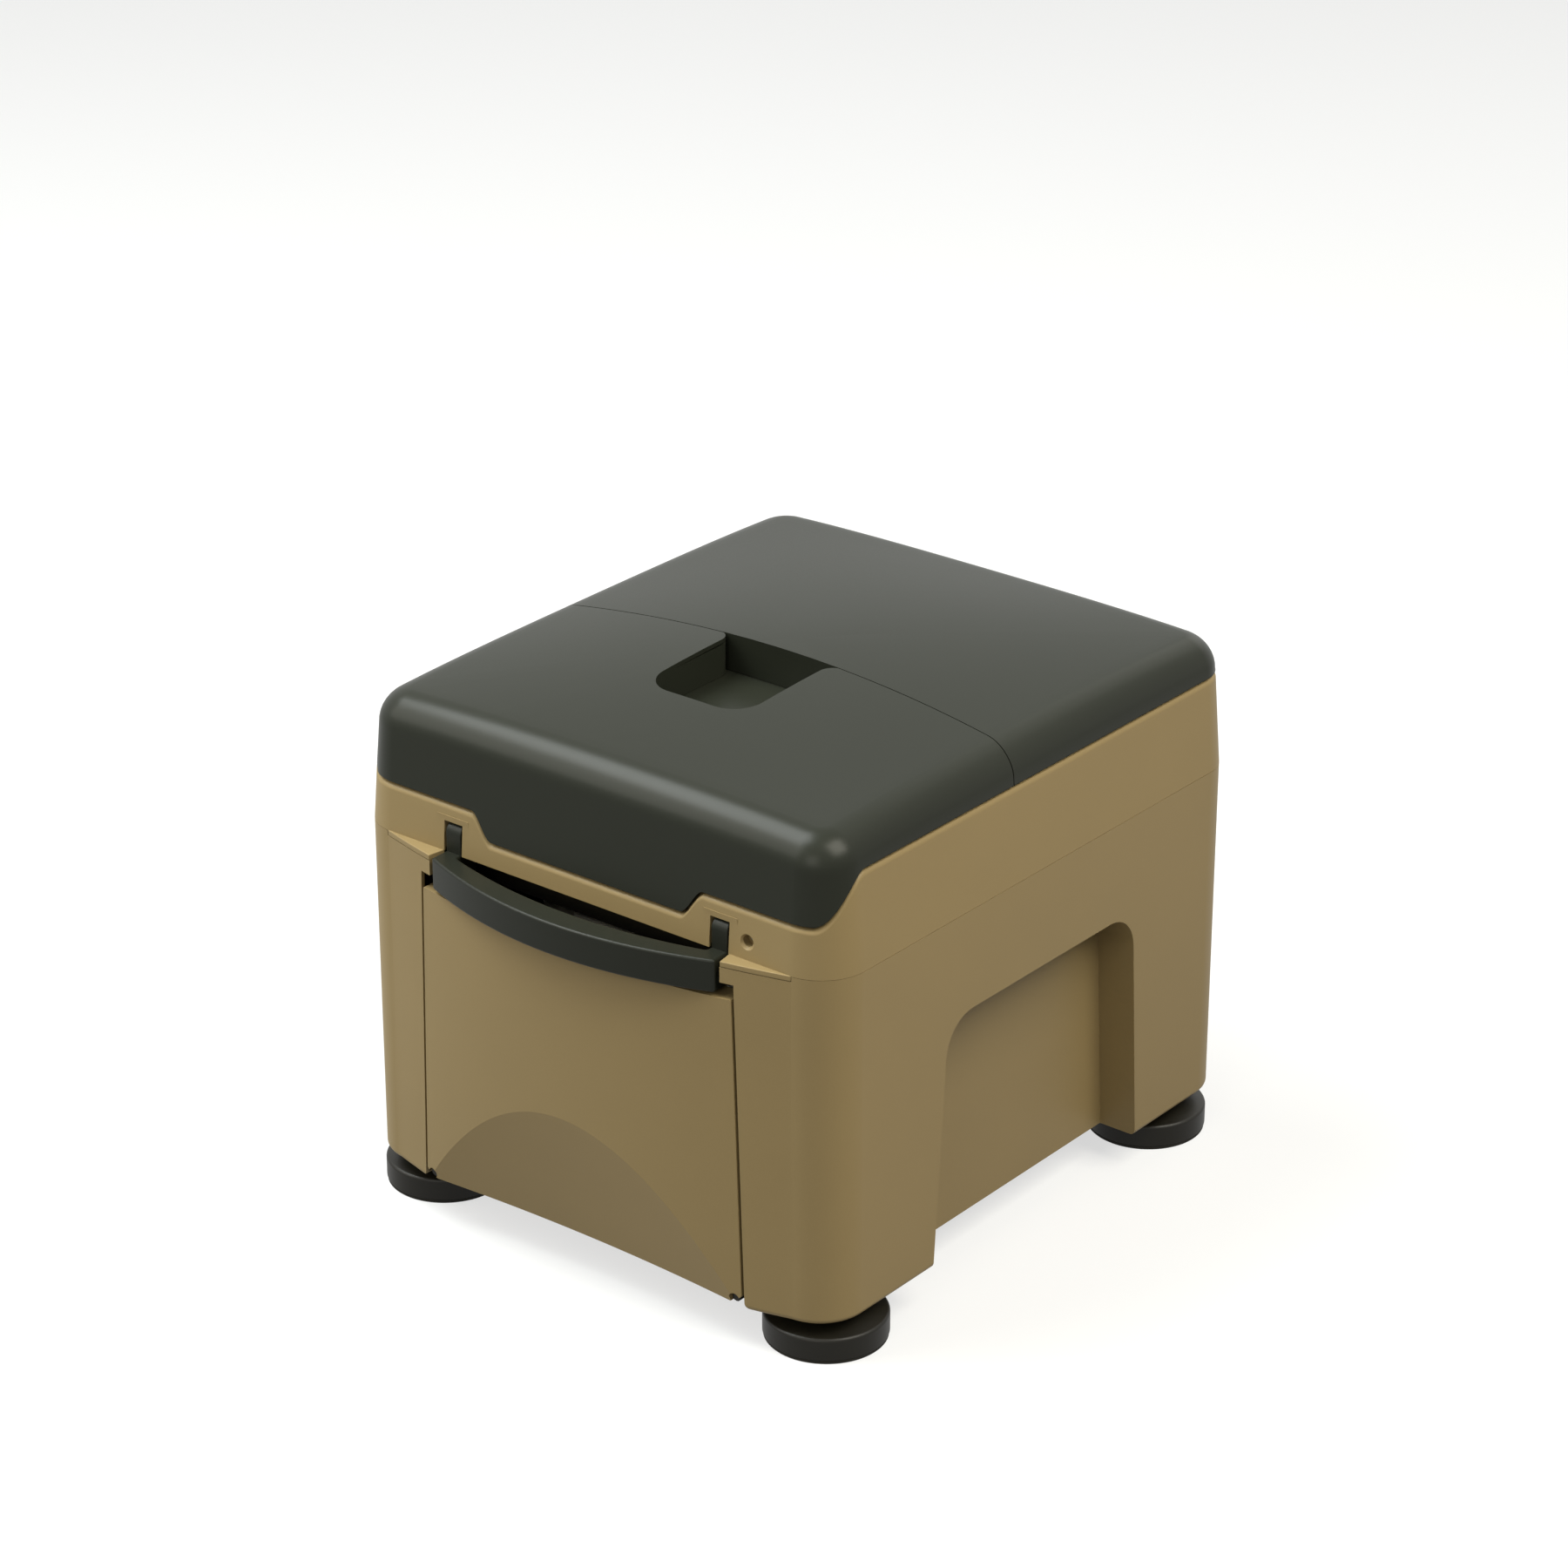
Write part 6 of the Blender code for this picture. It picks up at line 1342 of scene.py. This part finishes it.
class POTTY_OT_seat(PieceOperator, bpy.types.Operator):
    """Build the seat ring, its deck and the splash bowl."""

    bl_idname = "potty.seat"
    bl_label = "Seat and bowl"

    def execute(self, context):
        dressed(shaded(seat_mesh(), 50), "housing", "stone_plastic", "seat_ring")
        dressed(shaded(cleaned(deck_mesh())), "housing", "stone_plastic", "seat_deck")
        dressed(shaded(bowl_mesh(), 50), "housing", "stone_plastic", "bowl_insert")
        return {"FINISHED"}


class POTTY_OT_feet(PieceOperator, bpy.types.Operator):
    """Build the four levelling feet: disc, threaded stud and rubber pad."""

    bl_idname = "potty.feet"
    bl_label = "Levelling feet"

    def execute(self, context):
        for name in FOOT_NAMES:
            body = f"foot_{name}"
            low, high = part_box(f"foot_disc_{name}")
            centre = ((low.x + high.x) / 2, (low.y + high.y) / 2)
            disc = raw(f"{body}_disc", foot_disc(centre, low.z, high.z))
            dressed(shaded(disc, 30), body, "black_plastic", f"foot_disc_{name}")
            low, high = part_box(f"foot_stud_{name}")
            stud = stud_thread(f"{body}_stud", centre, low.z, high.z)
            dressed(shaded(stud, 50), body, "plated_steel", f"foot_stud_{name}")
            low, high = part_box(f"foot_pad_{name}")
            pad = raw(f"{body}_pad", foot_pad(centre, low.z, high.z))
            dressed(shaded(pad, 30), body, "black_rubber", f"foot_pad_{name}")
        return {"FINISHED"}


class POTTY_OT_fasteners(PieceOperator, bpy.types.Operator):
    """Build the screws and finish the pins, nuts, bumpers and inner pieces."""

    bl_idname = "potty.fasteners"
    bl_label = "Fasteners and inner pieces"

    def execute(self, context):
        for stem, (body, turn, axis, facing) in SCREW_GROUPS.items():
            nodes = sorted(name for name in NODES if name.startswith(stem))
            places = []
            for low, high in map(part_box, nodes):
                place = (low + high) / 2
                place[axis] = (high if facing > 0 else low)[axis] - facing * SCREW_HEAD_HEIGHT
                places.append(place)
                length = (high - low)[axis] - SCREW_HEAD_HEIGHT
            made = screws(f"{stem}s", places, turn, length)
            dressed(shaded(made, 40), body, "plated_steel", *nodes)
        for name, node in NODES.items():
            if not node.hide_render:
                node.data.materials.clear()
                node.data.materials.append(finish_for(SLOTS[name]))
        return {"FINISHED"}


class POTTY_OT_stage(PieceOperator, bpy.types.Operator):
    """Set up the floor, the room, the lights and the camera."""

    bl_idname = "potty.stage"
    bl_label = "Stage"

    def execute(self, context):
        scene = context.scene
        scene.view_settings.view_transform = "Standard"
        self.floor(scene.potty_stage.floor_white)
        self.room(scene, scene.potty_stage.room)
        for name, (place, size, colour) in LIGHTS.items():
            light = bpy.data.lights.new(f"{name} light", "AREA")
            light.size = size
            light.energy = getattr(scene.potty_stage, f"{name}_power")
            light.color = colour
            self.aimed(light, place, Vector(place) - LIGHT_AIM)
        lens = bpy.data.cameras.new("photo camera")
        lens.sensor_width = 36.0
        lens.lens = CAMERA_LENS
        scene.camera = self.aimed(lens, CAMERA_PLACE, Vector(CAMERA_BACK))
        return {"FINISHED"}

    def floor(self, white_share):
        """A plain pale floor, whitened where it is seen, that keeps the shadow."""
        bm = bmesh.new()
        bmesh.ops.create_grid(bm, x_segments=1, y_segments=1, size=FLOOR_HALF)
        floor = raw("floor", finished(bm))
        finish = Finish("pale_floor", 0.9, specular=0.0)
        camera = finish.add("ShaderNodeLightPath", output="Is Camera Ray")
        finish.set("Base Color", finish.blend(camera, (0.2, 0.2, 0.2, 1.0),
                                              (0.9, 0.9, 0.9, 1.0)))
        white = finish.add("ShaderNodeEmission", inputs={"Color": (1, 1, 1, 1), "Strength": 1.0})
        mixed = finish.add("ShaderNodeMixShader", inputs={
            0: finish.seen() * white_share, 1: Term(finish, finish.shader.outputs[0]), 2: white})
        finish.feed(finish.tree.nodes["Material Output"].inputs["Surface"], mixed)
        floor.data.materials.append(finish.material)

    def room(self, scene, strength):
        """An even room for light, white where it is seen."""
        world = bpy.data.worlds.new("room")
        world.use_nodes = True
        world.cycles.sampling_method = "NONE"
        scene.world = world
        room = Nodes(world.node_tree)
        room.tree.nodes.clear()
        even, white = [room.add("ShaderNodeBackground", inputs={"Color": colour, "Strength": power})
                       for colour, power in (((0.97, 0.98, 1.0, 1.0), strength),
                                             ((1.0, 1.0, 1.0, 1.0), 1.0))]
        mixed = room.add("ShaderNodeMixShader", inputs={0: room.seen(), 1: even, 2: white})
        room.feed(room.tree.nodes.new("ShaderNodeOutputWorld").inputs["Surface"], mixed)

    def aimed(self, data, place, back):
        """A light or camera at a place, its back turned one way."""
        made = raw(data.name, data)
        made.location = place
        made.rotation_euler = back.to_track_quat("Z", "Y").to_euler()
        return made


class POTTY_PT_panel(bpy.types.Panel):
    """Sidebar panel with the pieces and their settings."""

    bl_label = "Portable potty"
    bl_idname = "POTTY_PT_panel"
    bl_space_type = "VIEW_3D"
    bl_region_type = "UI"
    bl_category = "Potty"

    def draw(self, context):
        for group in GROUPS:
            settings = getattr(context.scene, group)
            column = self.layout.column(align=True)
            for name in settings.__annotations__:
                column.prop(settings, name)
        for operator in OPERATORS:
            self.layout.operator(operator.bl_idname)


OPERATORS = (POTTY_OT_housing, POTTY_OT_lid, POTTY_OT_handle, POTTY_OT_drawer, POTTY_OT_seat,
             POTTY_OT_feet, POTTY_OT_fasteners, POTTY_OT_stage)
GROUPS = {"potty_sizes": PottySizes, "potty_colours": PottyColours, "potty_stage": PottyStage}
CLASSES = (*GROUPS.values(), *OPERATORS, POTTY_PT_panel)


def register():
    for known in CLASSES:
        bpy.utils.register_class(known)
    for name, group in GROUPS.items():
        setattr(bpy.types.Scene, name, PointerProperty(type=group))


def unregister():
    for name in GROUPS:
        delattr(bpy.types.Scene, name)
    for known in reversed(CLASSES):
        bpy.utils.unregister_class(known)


def main():
    register()
    for operator in OPERATORS:
        group, name = operator.bl_idname.split(".")
        getattr(getattr(bpy.ops, group), name)()


if __name__ == "__main__":
    main()
